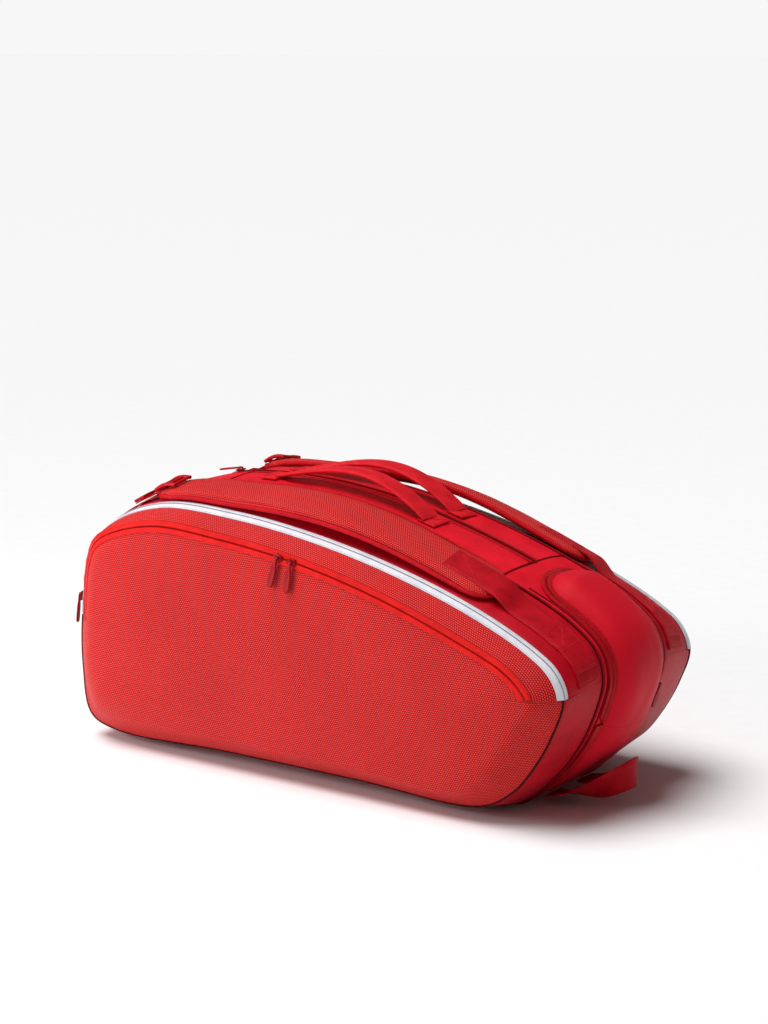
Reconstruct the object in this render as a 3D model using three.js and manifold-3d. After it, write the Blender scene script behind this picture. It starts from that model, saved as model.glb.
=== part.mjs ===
// Racket tournament bag: two racket compartments either side of a gear compartment, all on the base panel.
// Units are millimetres. +X runs to the handle end, +Z is up, and the near side is -Y.
import * as THREE from "three";
import { mergeVertices } from "three/addons/utils/BufferGeometryUtils.js";
import Module from "manifold-3d";

const wasm = await Module();
wasm.setup();

// ---- Driving dimensions ----
const FABRIC = 4; // thickness of a lined fabric wall
const FOAM = 6; // thickness of a foam-backed wall
const GAP = 0.5; // sewn neighbours stand this far apart
const DIVIDER_Y = 70; // half the width of the gear compartment
const ZIPPER_Y = 146; // middle of the racket compartment's zipper
const PANEL_Y = 174; // edge of the side panel
const TAPE = 6; // width of one side of a zipper
const LID_Z = 160; // the side panel folds along this height
const CROWN = 5; // rise of the gear compartment's top across its width
const PANEL_CROWN = 8; // how far the side panel stands out in its middle
const ARC = { x: -215, top: 303, radius: 1250 }; // the side pocket's zipper follows this circle
const STRAP = { from: 5.85, to: 10.0, width: 60, thick: 11, left: 109, right: 101 };
const HANDLE = { from: -142, to: 90, y: 30, width: 36, rise: 25, thick: 6 };
const LOOP = { webbing: 38, spread: 36, reach: 89, thick: 3 };
const END_POCKET = { half: 49, corner: 44, top: 254, hinge: 14.35, foot: 16.4, crown: 18 };
const SHIFT_X = 1.2; // puts the bounding box's middle on the origin

// ---- Outlines of the bag, seen from the side ----
// Each row is one station round the outline: [x, z] at the divider, the zipper and the side panel edge,
// then the panel edge's distance from the middle plane.
const onArc = (x) => [x, ARC.top - ARC.radius + Math.sqrt(ARC.radius ** 2 - (x - ARC.x) ** 2)];
const STATIONS = [
  [[-325, 0], [-322, 14], [-300, 38], 168], // base, head end
  [[-372, 25], [-364, 30], [-342, 44], 162],
  [[-383, 90], [-376, 92], [-362, 92], 158],
  [[-382, LID_Z], [-375, LID_Z], [-361, LID_Z], 158], // fold, head end
  [[-368, 240], [-360, 234], [-352, 238], 159],
  [[-320, 304], [-314, 290], [-331, 271], 164],
  [[-235, 334], [-235, 320], onArc(-235), 173],
  [[-120, 342], [-120, 320], onArc(-120), 174],
  [[0, 332], [0, 306], onArc(0), 174],
  [[120, 305], [120, 281], onArc(120), 174],
  [[235, 267], [233, 246], onArc(228), 174],
  [[316, 230], [312, 210], onArc(292), 174],
  [[350, 201], [341, 189], [318, 175], 174],
  [[360, 170], [354, LID_Z], [326, LID_Z], 174], // fold, handle end
  [[350, 128], [342, 120], [307, 127], 174],
  [[327, 80], [318, 76], [282, 90], 174],
  [[294, 38], [289, 41], [256, 54], 174],
  [[244, 0], [244, 16], [222, 36], 174], // base, handle end
  [[60, 0], [60, 16], [60, 39], 174],
  [[-140, 0], [-140, 16], [-140, 39], 172],
];
const COUNT = STATIONS.length;
const FOLD_HEAD = 3;
const FOLD_NOSE = 13;
const BASE_END = 17;

const closed = (points) => new THREE.CatmullRomCurve3(points, true, "centripetal");
const OUTLINES = [
  closed(STATIONS.map(([d]) => new THREE.Vector3(d[0], DIVIDER_Y, d[1]))),
  closed(STATIONS.map(([, z]) => new THREE.Vector3(z[0], ZIPPER_Y, z[1]))),
  closed(STATIONS.map(([, , p, y]) => new THREE.Vector3(p[0], y, p[1]))),
];
const at = (outline, station) => {
  const p = OUTLINES[outline].getPoint((((station / COUNT) % 1) + 1) % 1);
  p.z = Math.max(p.z, 0);
  return p;
};

// A point of the outer skin: station round the outline, and distance from the middle plane.
function bare(station, y) {
  if (Math.abs(y) <= DIVIDER_Y) {
    const p = at(0, station);
    return new THREE.Vector3(p.x, y, p.z);
  }
  if (y <= ZIPPER_Y) {
    const f = (y - DIVIDER_Y) / (ZIPPER_Y - DIVIDER_Y);
    return at(0, station).lerp(at(1, station), f);
  }
  const f = (y - ZIPPER_Y) / (PANEL_Y - ZIPPER_Y);
  return at(1, station).lerp(at(2, station), f);
}

function normalAt(station, y) {
  const along = bare(station + 0.01, y).sub(bare(station - 0.01, y));
  const side = Math.abs(y) < DIVIDER_Y ? 0 : y;
  const across = bare(station, side + 0.5).sub(bare(station, side - 0.5));
  return along.cross(across).normalize();
}

// The skin moved outwards by lift. The gear compartment's part of it has a slight crown.
function skin(station, y, lift = 0) {
  const across = Math.abs(y) < DIVIDER_Y ? 1 - (y / DIVIDER_Y) ** 2 : 0;
  const { smoothstep } = THREE.MathUtils;
  const along = smoothstep(station, 0.5, 3) * smoothstep(BASE_END - station, 0.5, 3);
  return bare(station, y).addScaledVector(normalAt(station, y), lift + CROWN * across * along);
}

// ---- Solids ----
const steps = (from, to, n) => Array.from({ length: n + 1 }, (_, i) => from + ((to - from) * i) / n);

// A closed wall between an outer and an inner grid of points.
function wall(outer, inner) {
  const rows = outer.length;
  const cols = outer[0].length;
  const index = (side, i, j) => (side * rows + i) * cols + j;
  const tris = [];
  const quad = (a, b, c, d) => tris.push(a, b, c, a, c, d);
  for (let i = 0; i + 1 < rows; i++)
    for (let j = 0; j + 1 < cols; j++) {
      quad(index(0, i, j), index(0, i + 1, j), index(0, i + 1, j + 1), index(0, i, j + 1));
      quad(index(1, i, j), index(1, i, j + 1), index(1, i + 1, j + 1), index(1, i + 1, j));
    }
  for (let i = 0; i + 1 < rows; i++) {
    quad(index(0, i + 1, 0), index(0, i, 0), index(1, i, 0), index(1, i + 1, 0));
    quad(index(0, i, cols - 1), index(0, i + 1, cols - 1), index(1, i + 1, cols - 1), index(1, i, cols - 1));
  }
  for (let j = 0; j + 1 < cols; j++) {
    quad(index(0, 0, j), index(0, 0, j + 1), index(1, 0, j + 1), index(1, 0, j));
    quad(index(0, rows - 1, j + 1), index(0, rows - 1, j), index(1, rows - 1, j), index(1, rows - 1, j + 1));
  }
  const points = [...outer.flat(), ...inner.flat()];
  return facingOut(points, tris);
}

function facingOut(points, tris) {
  let volume = 0;
  for (let i = 0; i < tris.length; i += 3) {
    const [a, b, c] = [points[tris[i]], points[tris[i + 1]], points[tris[i + 2]]];
    volume += a.dot(b.clone().cross(c));
  }
  if (volume < 0) tris.reverse();
  const geometry = new THREE.BufferGeometry().setFromPoints(points);
  geometry.setIndex(tris);
  return geometry;
}

// A strip of the skin, between two stations and two distances from the middle plane.
function strip(stations, ys, low, high) {
  const grid = (lift) => stations.map((s) => ys.map((y) => skin(s, y, lift)));
  return wall(grid(high), grid(low));
}

// A ribbon along a path: path(u) gives its middle, side(u) its width's direction, up(u) its thickness's.
function ribbon(count, width, thick, path, side, up) {
  const us = steps(0, 1, count);
  const grid = (lift) =>
    us.map((u) =>
      [-0.5, 0.5].map((w) =>
        path(u).addScaledVector(side(u), w * width).addScaledVector(up(u), lift),
      ),
    );
  return wall(grid(thick / 2), grid(-thick / 2));
}

function toSolid(geometry) {
  const plain = geometry.clone();
  plain.deleteAttribute("normal");
  plain.deleteAttribute("uv");
  const merged = mergeVertices(plain, 1e-3);
  return new wasm.Manifold(
    new wasm.Mesh({
      numProp: 3,
      vertProperties: merged.attributes.position.array,
      triVerts: new Uint32Array(merged.index.array),
    }),
  );
}

function fromSolid(solid) {
  const mesh = solid.getMesh();
  const geometry = new THREE.BufferGeometry();
  geometry.setAttribute("position", new THREE.BufferAttribute(new Float32Array(mesh.vertProperties), 3));
  geometry.setIndex(new THREE.BufferAttribute(new Uint32Array(mesh.triVerts), 1));
  return geometry;
}

// ---- Materials ----
const material = (color, roughness, metalness = 0) =>
  new THREE.MeshStandardMaterial({ color, roughness, metalness });
const MATERIALS = {
  textured: material(0xd8161c, 0.75),
  smooth: material(0xb80c1c, 0.55),
  heather: material(0xb01226, 0.7),
  lining: material(0x2a2628, 0.85),
  whiteZip: material(0xe9e9ee, 0.45),
  redZip: material(0xe81c20, 0.5),
  webbing: material(0xb51124, 0.7),
  plastic: material(0xc4141f, 0.35),
  rubber: material(0xbf2034, 0.5),
};

const bag = new THREE.Group();
bag.position.x = SHIFT_X;

function piece(parent, name, geometry, look) {
  const mesh = new THREE.Mesh(geometry, MATERIALS[look]);
  mesh.name = name;
  parent.add(mesh);
  return mesh;
}

// ---- The side panel's face ----
const PANEL_EDGE = steps(0, COUNT, 200).map((s) => at(2, s));

// Distance of the face from the middle plane, from the distance to the panel's edge.
function faceY(x, z, lift = 0) {
  let near = Infinity;
  let edgeY = PANEL_Y;
  for (const p of PANEL_EDGE) {
    const d = Math.hypot(p.x - x, p.z - z);
    if (d < near) [near, edgeY] = [d, p.y];
  }
  const ease = (v) => 1 - (1 - Math.min(v, 1)) ** 2;
  return edgeY + (PANEL_Y - edgeY) * ease(near / 34) + PANEL_CROWN * ease(near / 100) + lift;
}

// A plate of the face between two heights, each a function of x.
function facePlate(xs, rows, bottom, top, low, high) {
  const grid = (lift) =>
    xs.map((x) =>
      steps(0, 1, rows).map((v) => {
        const z = bottom(x) + (top(x) - bottom(x)) * v;
        return new THREE.Vector3(x, faceY(x, z, lift), z);
      }),
    );
  return wall(grid(high), grid(low));
}

// Height of the panel's edge above or below x, moved inwards by inset.
function edgeHeight(x, upper, inset) {
  const range = upper ? steps(FOLD_HEAD, FOLD_NOSE, 160) : steps(FOLD_NOSE, COUNT + FOLD_HEAD, 160);
  const points = range.map((s) => insetEdge(s, inset));
  for (let i = 0; i + 1 < points.length; i++) {
    const [a, b] = [points[i], points[i + 1]];
    if ((a.x - x) * (b.x - x) <= 0 && a.x !== b.x) return a.z + ((b.z - a.z) * (x - a.x)) / (b.x - a.x);
  }
  return LID_Z;
}

// The panel's edge at a station, moved inwards in its own plane.
function insetEdge(station, inset) {
  const p = at(2, station);
  const d = at(2, station + 0.02).sub(at(2, station - 0.02));
  const inward = new THREE.Vector3(d.z, 0, -d.x).normalize();
  return p.addScaledVector(inward, inset);
}

// One side of the side pocket's zipper, lying along the panel's edge.
function pocketTape(from, to) {
  const stations = steps(FOLD_HEAD + 0.03, FOLD_NOSE - 0.06, 34);
  const grid = (lift) =>
    stations.map((s) =>
      [from, to].map((inset) => {
        const p = insetEdge(s, inset);
        p.y = faceY(p.x, p.z, lift);
        return p;
      }),
    );
  return wall(grid(0), grid(-1.6));
}

// ---- Zipper hardware ----
// Slider in its own frame: x along the zipper, z off the tape.
function sliderShape() {
  const body = new THREE.Shape();
  body.moveTo(-6, -2.6);
  body.lineTo(2, -4.6);
  body.quadraticCurveTo(6, -4.6, 6, 0);
  body.quadraticCurveTo(6, 4.6, 2, 4.6);
  body.lineTo(-6, 2.6);
  return new THREE.ExtrudeGeometry(body, { depth: 2.2, bevelEnabled: false, curveSegments: 4 });
}

// Pull in its own frame: hung from the origin down -y, flat in x and y.
function pullShape(length) {
  const tab = new THREE.Shape();
  const half = 4.4;
  tab.moveTo(-half, -10);
  tab.lineTo(-half, -length + half);
  tab.quadraticCurveTo(-half, -length, 0, -length);
  tab.quadraticCurveTo(half, -length, half, -length + half);
  tab.lineTo(half, -10);
  tab.lineTo(2.4, -1);
  tab.quadraticCurveTo(0, 1.6, -2.4, -1);
  const hole = new THREE.Path();
  hole.absellipse(0, -4, 1.4, 2.6, 0, Math.PI * 2);
  tab.holes.push(hole);
  return new THREE.ExtrudeGeometry(tab, { depth: 2.6, bevelEnabled: false, curveSegments: 4 });
}

function place(mesh, origin, along, off) {
  const x = along.clone().normalize();
  const z = off.clone().addScaledVector(x, -off.dot(x)).normalize();
  const y = z.clone().cross(x);
  mesh.quaternion.setFromRotationMatrix(new THREE.Matrix4().makeBasis(x, y, z));
  mesh.position.copy(origin);
}

// ---- One side of the bag, built on +Y ----
function side(name, group) {
  const add = (part, geometry, look) => piece(group, name + "_" + part, geometry, look);
  const tapeIn = ZIPPER_Y - TAPE;
  const tapeOut = ZIPPER_Y + TAPE;

  // Fixed walls of the racket compartment.
  add("divider", dividerGeometry(), "lining");
  const round = steps(0.03, BASE_END - 0.03, 46);
  add("gusset", strip(round, [DIVIDER_Y + 2, 108, tapeIn - GAP], -FABRIC, 0), "smooth");
  const under = steps(BASE_END, COUNT + FOLD_HEAD - 0.02, 12).slice(1);
  const lower = [...steps(FOLD_NOSE + 0.02, BASE_END, 9), ...under];
  add("lower_band", strip(lower, [tapeIn + 1.6, 163, PANEL_Y - 1], -FOAM, 0), "textured");
  const xsLow = steps(-352, 318, 16);
  const foot = (x) => Math.min(edgeHeight(x, false, 6), LID_Z - 6);
  add("lower_front", facePlate(xsLow, 4, foot, () => LID_Z - GAP, -FOAM, 0), "textured");

  // The lid: everything above the fold.
  const over = steps(FOLD_HEAD + 0.02, FOLD_NOSE - 0.03, 34);
  add("zip_tape_body", strip(over, [tapeIn, ZIPPER_Y - 1], -1.6, 0), "whiteZip");
  add("zip_tape_lid", strip(over, [ZIPPER_Y + 1, tapeOut], -1.6, 0), "whiteZip");
  add("lid_band", strip(over, [tapeOut + 2, 163, PANEL_Y - 4], -FOAM, 0), "textured");
  const xsIn = steps(-338, 300, 12);
  const inner = (x) => edgeHeight(x, true, 16);
  const grid = (y) => xsIn.map((x) => [LID_Z + 1, inner(x)].map((z) => new THREE.Vector3(x, y, z)));
  add("lid_inner_panel", wall(grid(157), grid(154)), "lining");
  add("pocket_zip_upper", pocketTape(0.6, TAPE - 0.2), "redZip");
  add("pocket_zip_lower", pocketTape(TAPE + 1.1, 2 * TAPE - 0.6), "redZip");

  // The side pocket's front.
  const xsUp = steps(-348, 304, 16);
  const brim = (x) => Math.max(edgeHeight(x, true, 2 * TAPE), LID_Z + 3);
  add("pocket_front", facePlate(xsUp, 3, () => LID_Z + GAP, brim, -FOAM, 0), "textured");

  // Sliders and pulls.
  const mainStation = FOLD_HEAD + 0.32;
  const mainSlider = add("main_slider", sliderShape(), "plastic");
  const mainAlong = skin(mainStation + 0.05, ZIPPER_Y).sub(skin(mainStation - 0.05, ZIPPER_Y));
  const mainOff = normalAt(mainStation, ZIPPER_Y);
  place(mainSlider, skin(mainStation, ZIPPER_Y, 0.8), mainAlong, mainOff);
  const mainPull = add("main_pull", pullShape(38), "rubber");
  const across = mainOff.clone().cross(mainAlong).normalize();
  place(mainPull, skin(mainStation, ZIPPER_Y, 4), across.negate(), mainOff);
  for (const [tag, x] of [["a", -29], ["b", -9]]) {
    const [, z] = onArc(x);
    const tangent = new THREE.Vector3(1, 0, -(x - ARC.x) / ARC.radius).normalize();
    const dir = tag === "a" ? -1 : 1;
    const out = new THREE.Vector3(0, 1, 0);
    const centre = new THREE.Vector3(x, faceY(x, z - TAPE) + 1, z - TAPE);
    place(add("pocket_slider_" + tag, sliderShape(), "plastic"), centre, tangent.multiplyScalar(dir), out);
    const hang = new THREE.Vector3(x, faceY(x, z - 44) + 1.6, z - TAPE);
    place(add("pocket_pull_" + tag, pullShape(38), "rubber"), hang, new THREE.Vector3(-1, 0, 0), out);
  }

  // Backpack strap: pad, webbing down to the nose, adjuster and webbing down to the head end.
  const middle = (s) => THREE.MathUtils.mapLinear(s, STRAP.from, STRAP.to, STRAP.left, STRAP.right);
  const arch = (s) => 1.5 + 9 * Math.sin(Math.PI * THREE.MathUtils.clamp((s - 6.6) / 3.4, 0, 1)) ** 2;
  const padStations = [...steps(STRAP.from, 9.6, 18), ...steps(9.6, STRAP.to, 4).slice(1)];
  const half = (s) => (STRAP.width / 2) * Math.sqrt(1 - Math.max(0, (s - 9.72) / 0.34) ** 2);
  const padGrid = (lift) =>
    padStations.map((s) =>
      [-1, -0.5, 0.5, 1].map((w) => {
        const thinned = Math.abs(w) === 1 ? lift * 0.25 : lift;
        return skin(s, middle(s) + w * half(s), arch(s) + STRAP.thick / 2 + thinned);
      }),
    );
  add("strap_pad", wall(padGrid(STRAP.thick / 2), padGrid(-STRAP.thick / 2)), "textured");
  add("strap_webbing_nose", strip(steps(10.1, 12.86, 10), [81, 120], 0.8, 3.2), "webbing");
  add("strap_webbing_head", strip(steps(3.9, 5.55, 10), [97, 122], 0.8, 2.8), "webbing");
  const buckle = add("adjuster", adjusterGeometry(), "plastic");
  const buckleAlong = skin(6.05, STRAP.left).sub(skin(5.7, STRAP.left));
  place(buckle, skin(5.9, STRAP.left, 13.2), buckleAlong, normalAt(5.9, STRAP.left));

  // Half of the gear compartment's top, and a carry handle.
  add("top_flap", strip(steps(6.32, 9.82, 16), [3, 32, 62], -FABRIC, 0), "smooth");
  const mid = (u) => {
    const x = THREE.MathUtils.lerp(HANDLE.from, HANDLE.to, u);
    const s = stationAt(x);
    const base = skin(s, HANDLE.y, 1 + HANDLE.thick / 2);
    base.z += HANDLE.rise * Math.sin(Math.PI * u ** 1.35) ** 0.9;
    return base;
  };
  const upAt = (u) => {
    const d = mid(Math.min(u + 0.01, 1)).sub(mid(Math.max(u - 0.01, 0)));
    return new THREE.Vector3(-d.z, 0, d.x).normalize();
  };
  const handle = ribbon(18, HANDLE.width, HANDLE.thick, mid, () => new THREE.Vector3(0, 1, 0), upAt);
  add("carry_handle", handle, "webbing");
}

// Station of the top outline at x.
function stationAt(x) {
  let [low, high] = [5, 12];
  for (let i = 0; i < 30; i++) {
    const m = (low + high) / 2;
    if (at(0, m).x < x) low = m;
    else high = m;
  }
  return low;
}

// The wall between a racket compartment and the gear compartment. It stands on the base panel.
function dividerGeometry() {
  const stations = [...steps(0, BASE_END, 46), ...steps(BASE_END, COUNT, 6).slice(1, -1)];
  const rim = stations.map((s) => {
    const p = skin(s, DIVIDER_Y - 0.01, -1);
    return new THREE.Vector2(p.x, Math.max(p.z, FABRIC + 0.6));
  });
  const plate = new THREE.ExtrudeGeometry(new THREE.Shape(rim), { depth: 3.4, bevelEnabled: false });
  plate.rotateX(Math.PI / 2); // the outline now stands in x and z, and the plate runs to -y
  plate.translate(0, DIVIDER_Y - 0.3, 0);
  return plate;
}

// Ladder-lock adjuster for 25 mm webbing: x along the strap, z up.
function adjusterGeometry() {
  const frame = new THREE.Shape();
  frame.moveTo(-15, -13);
  frame.quadraticCurveTo(-15, -17, -11, -17);
  frame.lineTo(11, -17);
  frame.quadraticCurveTo(15, -17, 15, -13);
  frame.lineTo(15, 13);
  frame.quadraticCurveTo(15, 17, 11, 17);
  frame.lineTo(-11, 17);
  frame.quadraticCurveTo(-15, 17, -15, 13);
  const plate = new THREE.ExtrudeGeometry(frame, { depth: 4.5, bevelEnabled: false, curveSegments: 3 });
  let solid = toSolid(plate);
  for (const [from, to] of [[-11, -5], [-1, 4], [8, 12]]) {
    const slot = new THREE.BoxGeometry(to - from, 26, 20);
    slot.translate((from + to) / 2, 0, 0);
    solid = solid.subtract(toSolid(slot));
  }
  return fromSolid(solid);
}

// ---- Middle of the bag ----
// Distance round the divider outline, to lay the end pocket out flat.
const TRACK = steps(8, COUNT, 480);
const LENGTHS = TRACK.reduce((all, s, i) => {
  const last = i ? all[i - 1] + at(0, s).distanceTo(at(0, TRACK[i - 1])) : 0;
  return [...all, last];
}, []);
function stationAlong(length) {
  const i = Math.max(1, LENGTHS.findIndex((l) => l >= length));
  const f = (length - LENGTHS[i - 1]) / (LENGTHS[i] - LENGTHS[i - 1]);
  return TRACK[i - 1] + f * (TRACK[i] - TRACK[i - 1]);
}
const lengthOf = (station) => LENGTHS[TRACK.findIndex((s) => s >= station)];
const POCKET_TOP = lengthOf(stationAt(END_POCKET.top));
const POCKET_HINGE = lengthOf(END_POCKET.hinge);
const POCKET_FOOT = lengthOf(END_POCKET.foot);

// Half the end pocket's width, grown by off, at a distance below its top.
function pocketHalf(down, off) {
  const r = END_POCKET.corner + off;
  const d = down + off;
  const cut = d < r ? r - Math.sqrt(Math.max(0, r * r - (r - d) ** 2)) : 0;
  return END_POCKET.half + off - cut;
}

// How far the end pocket stands out.
function pocketCrown(down, w) {
  const total = POCKET_FOOT - POCKET_TOP;
  const start = Math.min(1, down / 30) ** 0.5;
  const end = Math.min(1, Math.max(0, total - down) / 90) ** 0.8;
  return 3 + END_POCKET.crown * (1 - 0.35 * (down / total)) * start * end * (1 - Math.abs(w) ** 2.6);
}

function pocketShell(from, to, rows, low, high) {
  const grid = (lift) =>
    steps(from, to, rows).map((down) =>
      steps(-1, 1, 8).map((w) =>
        skin(stationAlong(POCKET_TOP + down), w * pocketHalf(down, 0), pocketCrown(down, w) + lift),
      ),
    );
  return wall(grid(high), grid(low));
}

// A U-shaped strip round the end pocket.
function pocketTapeU(from, to) {
  const depth = POCKET_HINGE - POCKET_TOP;
  const downs = steps(0, 1, 14).map((v) => depth * (1 - v) ** 1.6);
  const row = (off, lift, sign) =>
    downs.map((d) => {
      const down = Math.max(d - off, -off + 0.2);
      return skin(stationAlong(POCKET_TOP + down), sign * pocketHalf(down, off), lift);
    });
  const line = (off, lift) => [...row(off, lift, -1), ...row(off, lift, 1).reverse()];
  const grid = (lift) => {
    const [a, b] = [line(from, lift), line(to, lift)];
    return a.map((p, i) => [p, b[i]]);
  };
  return wall(grid(3.6), grid(2));
}

function middleOfBag() {
  const edge = DIVIDER_Y - 4.4;
  const across = [-139.4, -105, -DIVIDER_Y, 0, DIVIDER_Y, 105, 139.4];
  const baseStations = steps(BASE_END, COUNT, 8);
  const baseGrid = (lift) => baseStations.map((s) =>
    across.map((y) => {
      const p = bare(s, Math.abs(y));
      return new THREE.Vector3(p.x, y, p.z + lift);
    }),
  );
  piece(bag, "base_panel", wall(baseGrid(FABRIC), baseGrid(0)), "textured");
  const ys = [-edge, -35, 0, 35, edge];
  piece(bag, "head_end_panel", strip(steps(0.03, 6.28, 20), ys, -FABRIC, 0), "smooth");

  // The nose has a window that the end pocket covers.
  const nose = toSolid(strip(steps(9.86, BASE_END - 0.03, 24), ys, -FABRIC, 0));
  const downs = steps(9, POCKET_FOOT - POCKET_TOP - 12, 20);
  const window = (lift) =>
    downs.map((d) => [-1, 1].map((w) => skin(stationAlong(POCKET_TOP + d), w * pocketHalf(d, -5), lift)));
  const frame = nose.subtract(toSolid(wall(window(12), window(-12))));
  piece(bag, "nose_frame", fromSolid(frame), "smooth");
  const depth = POCKET_HINGE - POCKET_TOP;
  piece(bag, "end_pocket_flap", pocketShell(2.5, depth - 1, 14, 0, 3), "heather");
  piece(bag, "end_pocket_foot", pocketShell(depth + 1, POCKET_FOOT - POCKET_TOP, 6, 0, 3), "heather");
  piece(bag, "end_zip_frame", pocketTapeU(7.4, 12.6), "redZip");
  piece(bag, "end_zip_flap", pocketTapeU(1.2, 7), "redZip");
  const lining = new THREE.BoxGeometry(3, 2 * edge - 2, 246);
  lining.translate(236, 0, 5 + 123);
  piece(bag, "end_pocket_lining", lining, "lining");
  endSlider();
  topSlider();
  grabLoop();
}

// Slider of the end pocket, parked low on the far side.
function endSlider() {
  const down = POCKET_HINGE - POCKET_TOP - 30;
  const station = stationAlong(POCKET_TOP + down);
  const y = END_POCKET.half + 7.2;
  const along = skin(station + 0.05, y).sub(skin(station - 0.05, y));
  const off = normalAt(station, y);
  place(piece(bag, "end_slider", sliderShape(), "plastic"), skin(station, y, 5.2), along, off);
  const pull = piece(bag, "end_pull", pullShape(30), "rubber");
  place(pull, skin(station, y, 8), off.clone().cross(along), off);
}

// Slider of the gear compartment's top zipper, parked at the head end.
function topSlider() {
  const station = 6.08;
  const along = skin(station + 0.05, 0).sub(skin(station - 0.05, 0));
  const off = normalAt(station, 0);
  place(piece(bag, "top_slider", sliderShape(), "plastic"), skin(station, 0, 0.8), along, off);
  const pull = piece(bag, "top_pull", pullShape(34), "rubber");
  place(pull, skin(station, 0, 3.4), new THREE.Vector3(0, -1, 0), off);
}

// Webbing loop under the nose. It lies flat where it is sewn on and stands upright at its far end.
function grabLoop() {
  const root = new THREE.Vector3(274, 0, 11);
  const path = (u) => {
    const a = Math.PI * u;
    return new THREE.Vector3(
      root.x + LOOP.reach * Math.sin(a) ** 0.8,
      -LOOP.spread * Math.cos(a),
      root.z + 31 * Math.sin(a) ** 1.5,
    );
  };
  const lie = (u) => Math.sin(Math.PI * u);
  const ahead = (u) => path(Math.min(u + 0.02, 1)).sub(path(Math.max(u - 0.02, 0))).normalize();
  const flat = (u) => ahead(u).cross(new THREE.Vector3(0, 0, 1)).normalize();
  const width = (u) => flat(u).multiplyScalar(1 - lie(u)).add(new THREE.Vector3(0, 0, lie(u))).normalize();
  const up = (u) => ahead(u).cross(width(u)).normalize();
  piece(bag, "grab_loop", ribbon(20, LOOP.webbing, LOOP.thick, path, width, up), "webbing");
}

const far = new THREE.Group();
const near = new THREE.Group();
near.scale.y = -1;
bag.add(far, near);
side("far", far);
side("near", near);
middleOfBag();

export default bag;
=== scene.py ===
"""Looks of the racket bag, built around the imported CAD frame.

Shapes are worked out in the CAD's millimetres and become metres when a mesh is made. +X is the nose and +Z
is up. Each side of the bag is described on +Y and mirrored for the near side.
"""

import math

import bmesh
import bpy
import numpy as np
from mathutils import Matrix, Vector


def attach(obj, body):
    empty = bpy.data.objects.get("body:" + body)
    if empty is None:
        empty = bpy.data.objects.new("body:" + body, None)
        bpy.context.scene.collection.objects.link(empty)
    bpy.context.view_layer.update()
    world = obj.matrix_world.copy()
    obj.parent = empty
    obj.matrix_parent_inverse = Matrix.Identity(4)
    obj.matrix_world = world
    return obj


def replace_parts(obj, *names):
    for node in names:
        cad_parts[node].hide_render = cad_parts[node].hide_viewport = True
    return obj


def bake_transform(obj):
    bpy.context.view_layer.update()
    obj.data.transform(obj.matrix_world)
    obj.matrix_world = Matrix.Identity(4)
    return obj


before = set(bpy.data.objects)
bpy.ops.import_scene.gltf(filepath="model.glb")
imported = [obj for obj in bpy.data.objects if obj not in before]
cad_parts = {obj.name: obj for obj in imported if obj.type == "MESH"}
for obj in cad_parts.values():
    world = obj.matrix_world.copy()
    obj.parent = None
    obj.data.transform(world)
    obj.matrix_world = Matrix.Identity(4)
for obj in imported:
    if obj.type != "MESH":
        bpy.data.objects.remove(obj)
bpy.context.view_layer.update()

# ---- Dimensions shared with the CAD, in millimetres ----
DIVIDER_Y, ZIPPER_Y, PANEL_Y = 70.0, 146.0, 174.0
TAPE = 6.0
LID_Z = 160.0
CROWN, PANEL_CROWN = 5.0, 8.0
ARC_X, ARC_TOP, ARC_R = -215.0, 303.0, 1250.0
STRAP_FROM, STRAP_TO, STRAP_HALF = 5.85, 10.0, 30.0
HANDLE_FROM, HANDLE_TO, HANDLE_Y, HANDLE_RISE = -142.0, 90.0, 30.0, 25.0
POCKET_HALF, POCKET_CORNER, POCKET_CROWN = 49.0, 44.0, 18.0
SHIFT_X = 1.2
BASE_END = 17.0


def on_arc(x):
    return [x, ARC_TOP - ARC_R + math.sqrt(ARC_R**2 - (x - ARC_X) ** 2)]


# The bag's outline at the divider, at the zipper and at the side panel's edge, and that edge's Y.
STATIONS = [
    [[-325, 0], [-322, 14], [-300, 38], 168],
    [[-372, 25], [-364, 30], [-342, 44], 162],
    [[-383, 90], [-376, 92], [-362, 92], 158],
    [[-382, LID_Z], [-375, LID_Z], [-361, LID_Z], 158],
    [[-368, 240], [-360, 234], [-352, 238], 159],
    [[-320, 304], [-314, 290], [-331, 271], 164],
    [[-235, 334], [-235, 320], on_arc(-235), 173],
    [[-120, 342], [-120, 320], on_arc(-120), 174],
    [[0, 332], [0, 306], on_arc(0), 174],
    [[120, 305], [120, 281], on_arc(120), 174],
    [[235, 267], [233, 246], on_arc(228), 174],
    [[316, 230], [312, 210], on_arc(292), 174],
    [[350, 201], [341, 189], [318, 175], 174],
    [[360, 170], [354, LID_Z], [326, LID_Z], 174],
    [[350, 128], [342, 120], [307, 127], 174],
    [[327, 80], [318, 76], [282, 90], 174],
    [[294, 38], [289, 41], [256, 54], 174],
    [[244, 0], [244, 16], [222, 36], 174],
    [[60, 0], [60, 16], [60, 39], 174],
    [[-140, 0], [-140, 16], [-140, 39], 172],
]
COUNT = len(STATIONS)
PER = 100


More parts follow.
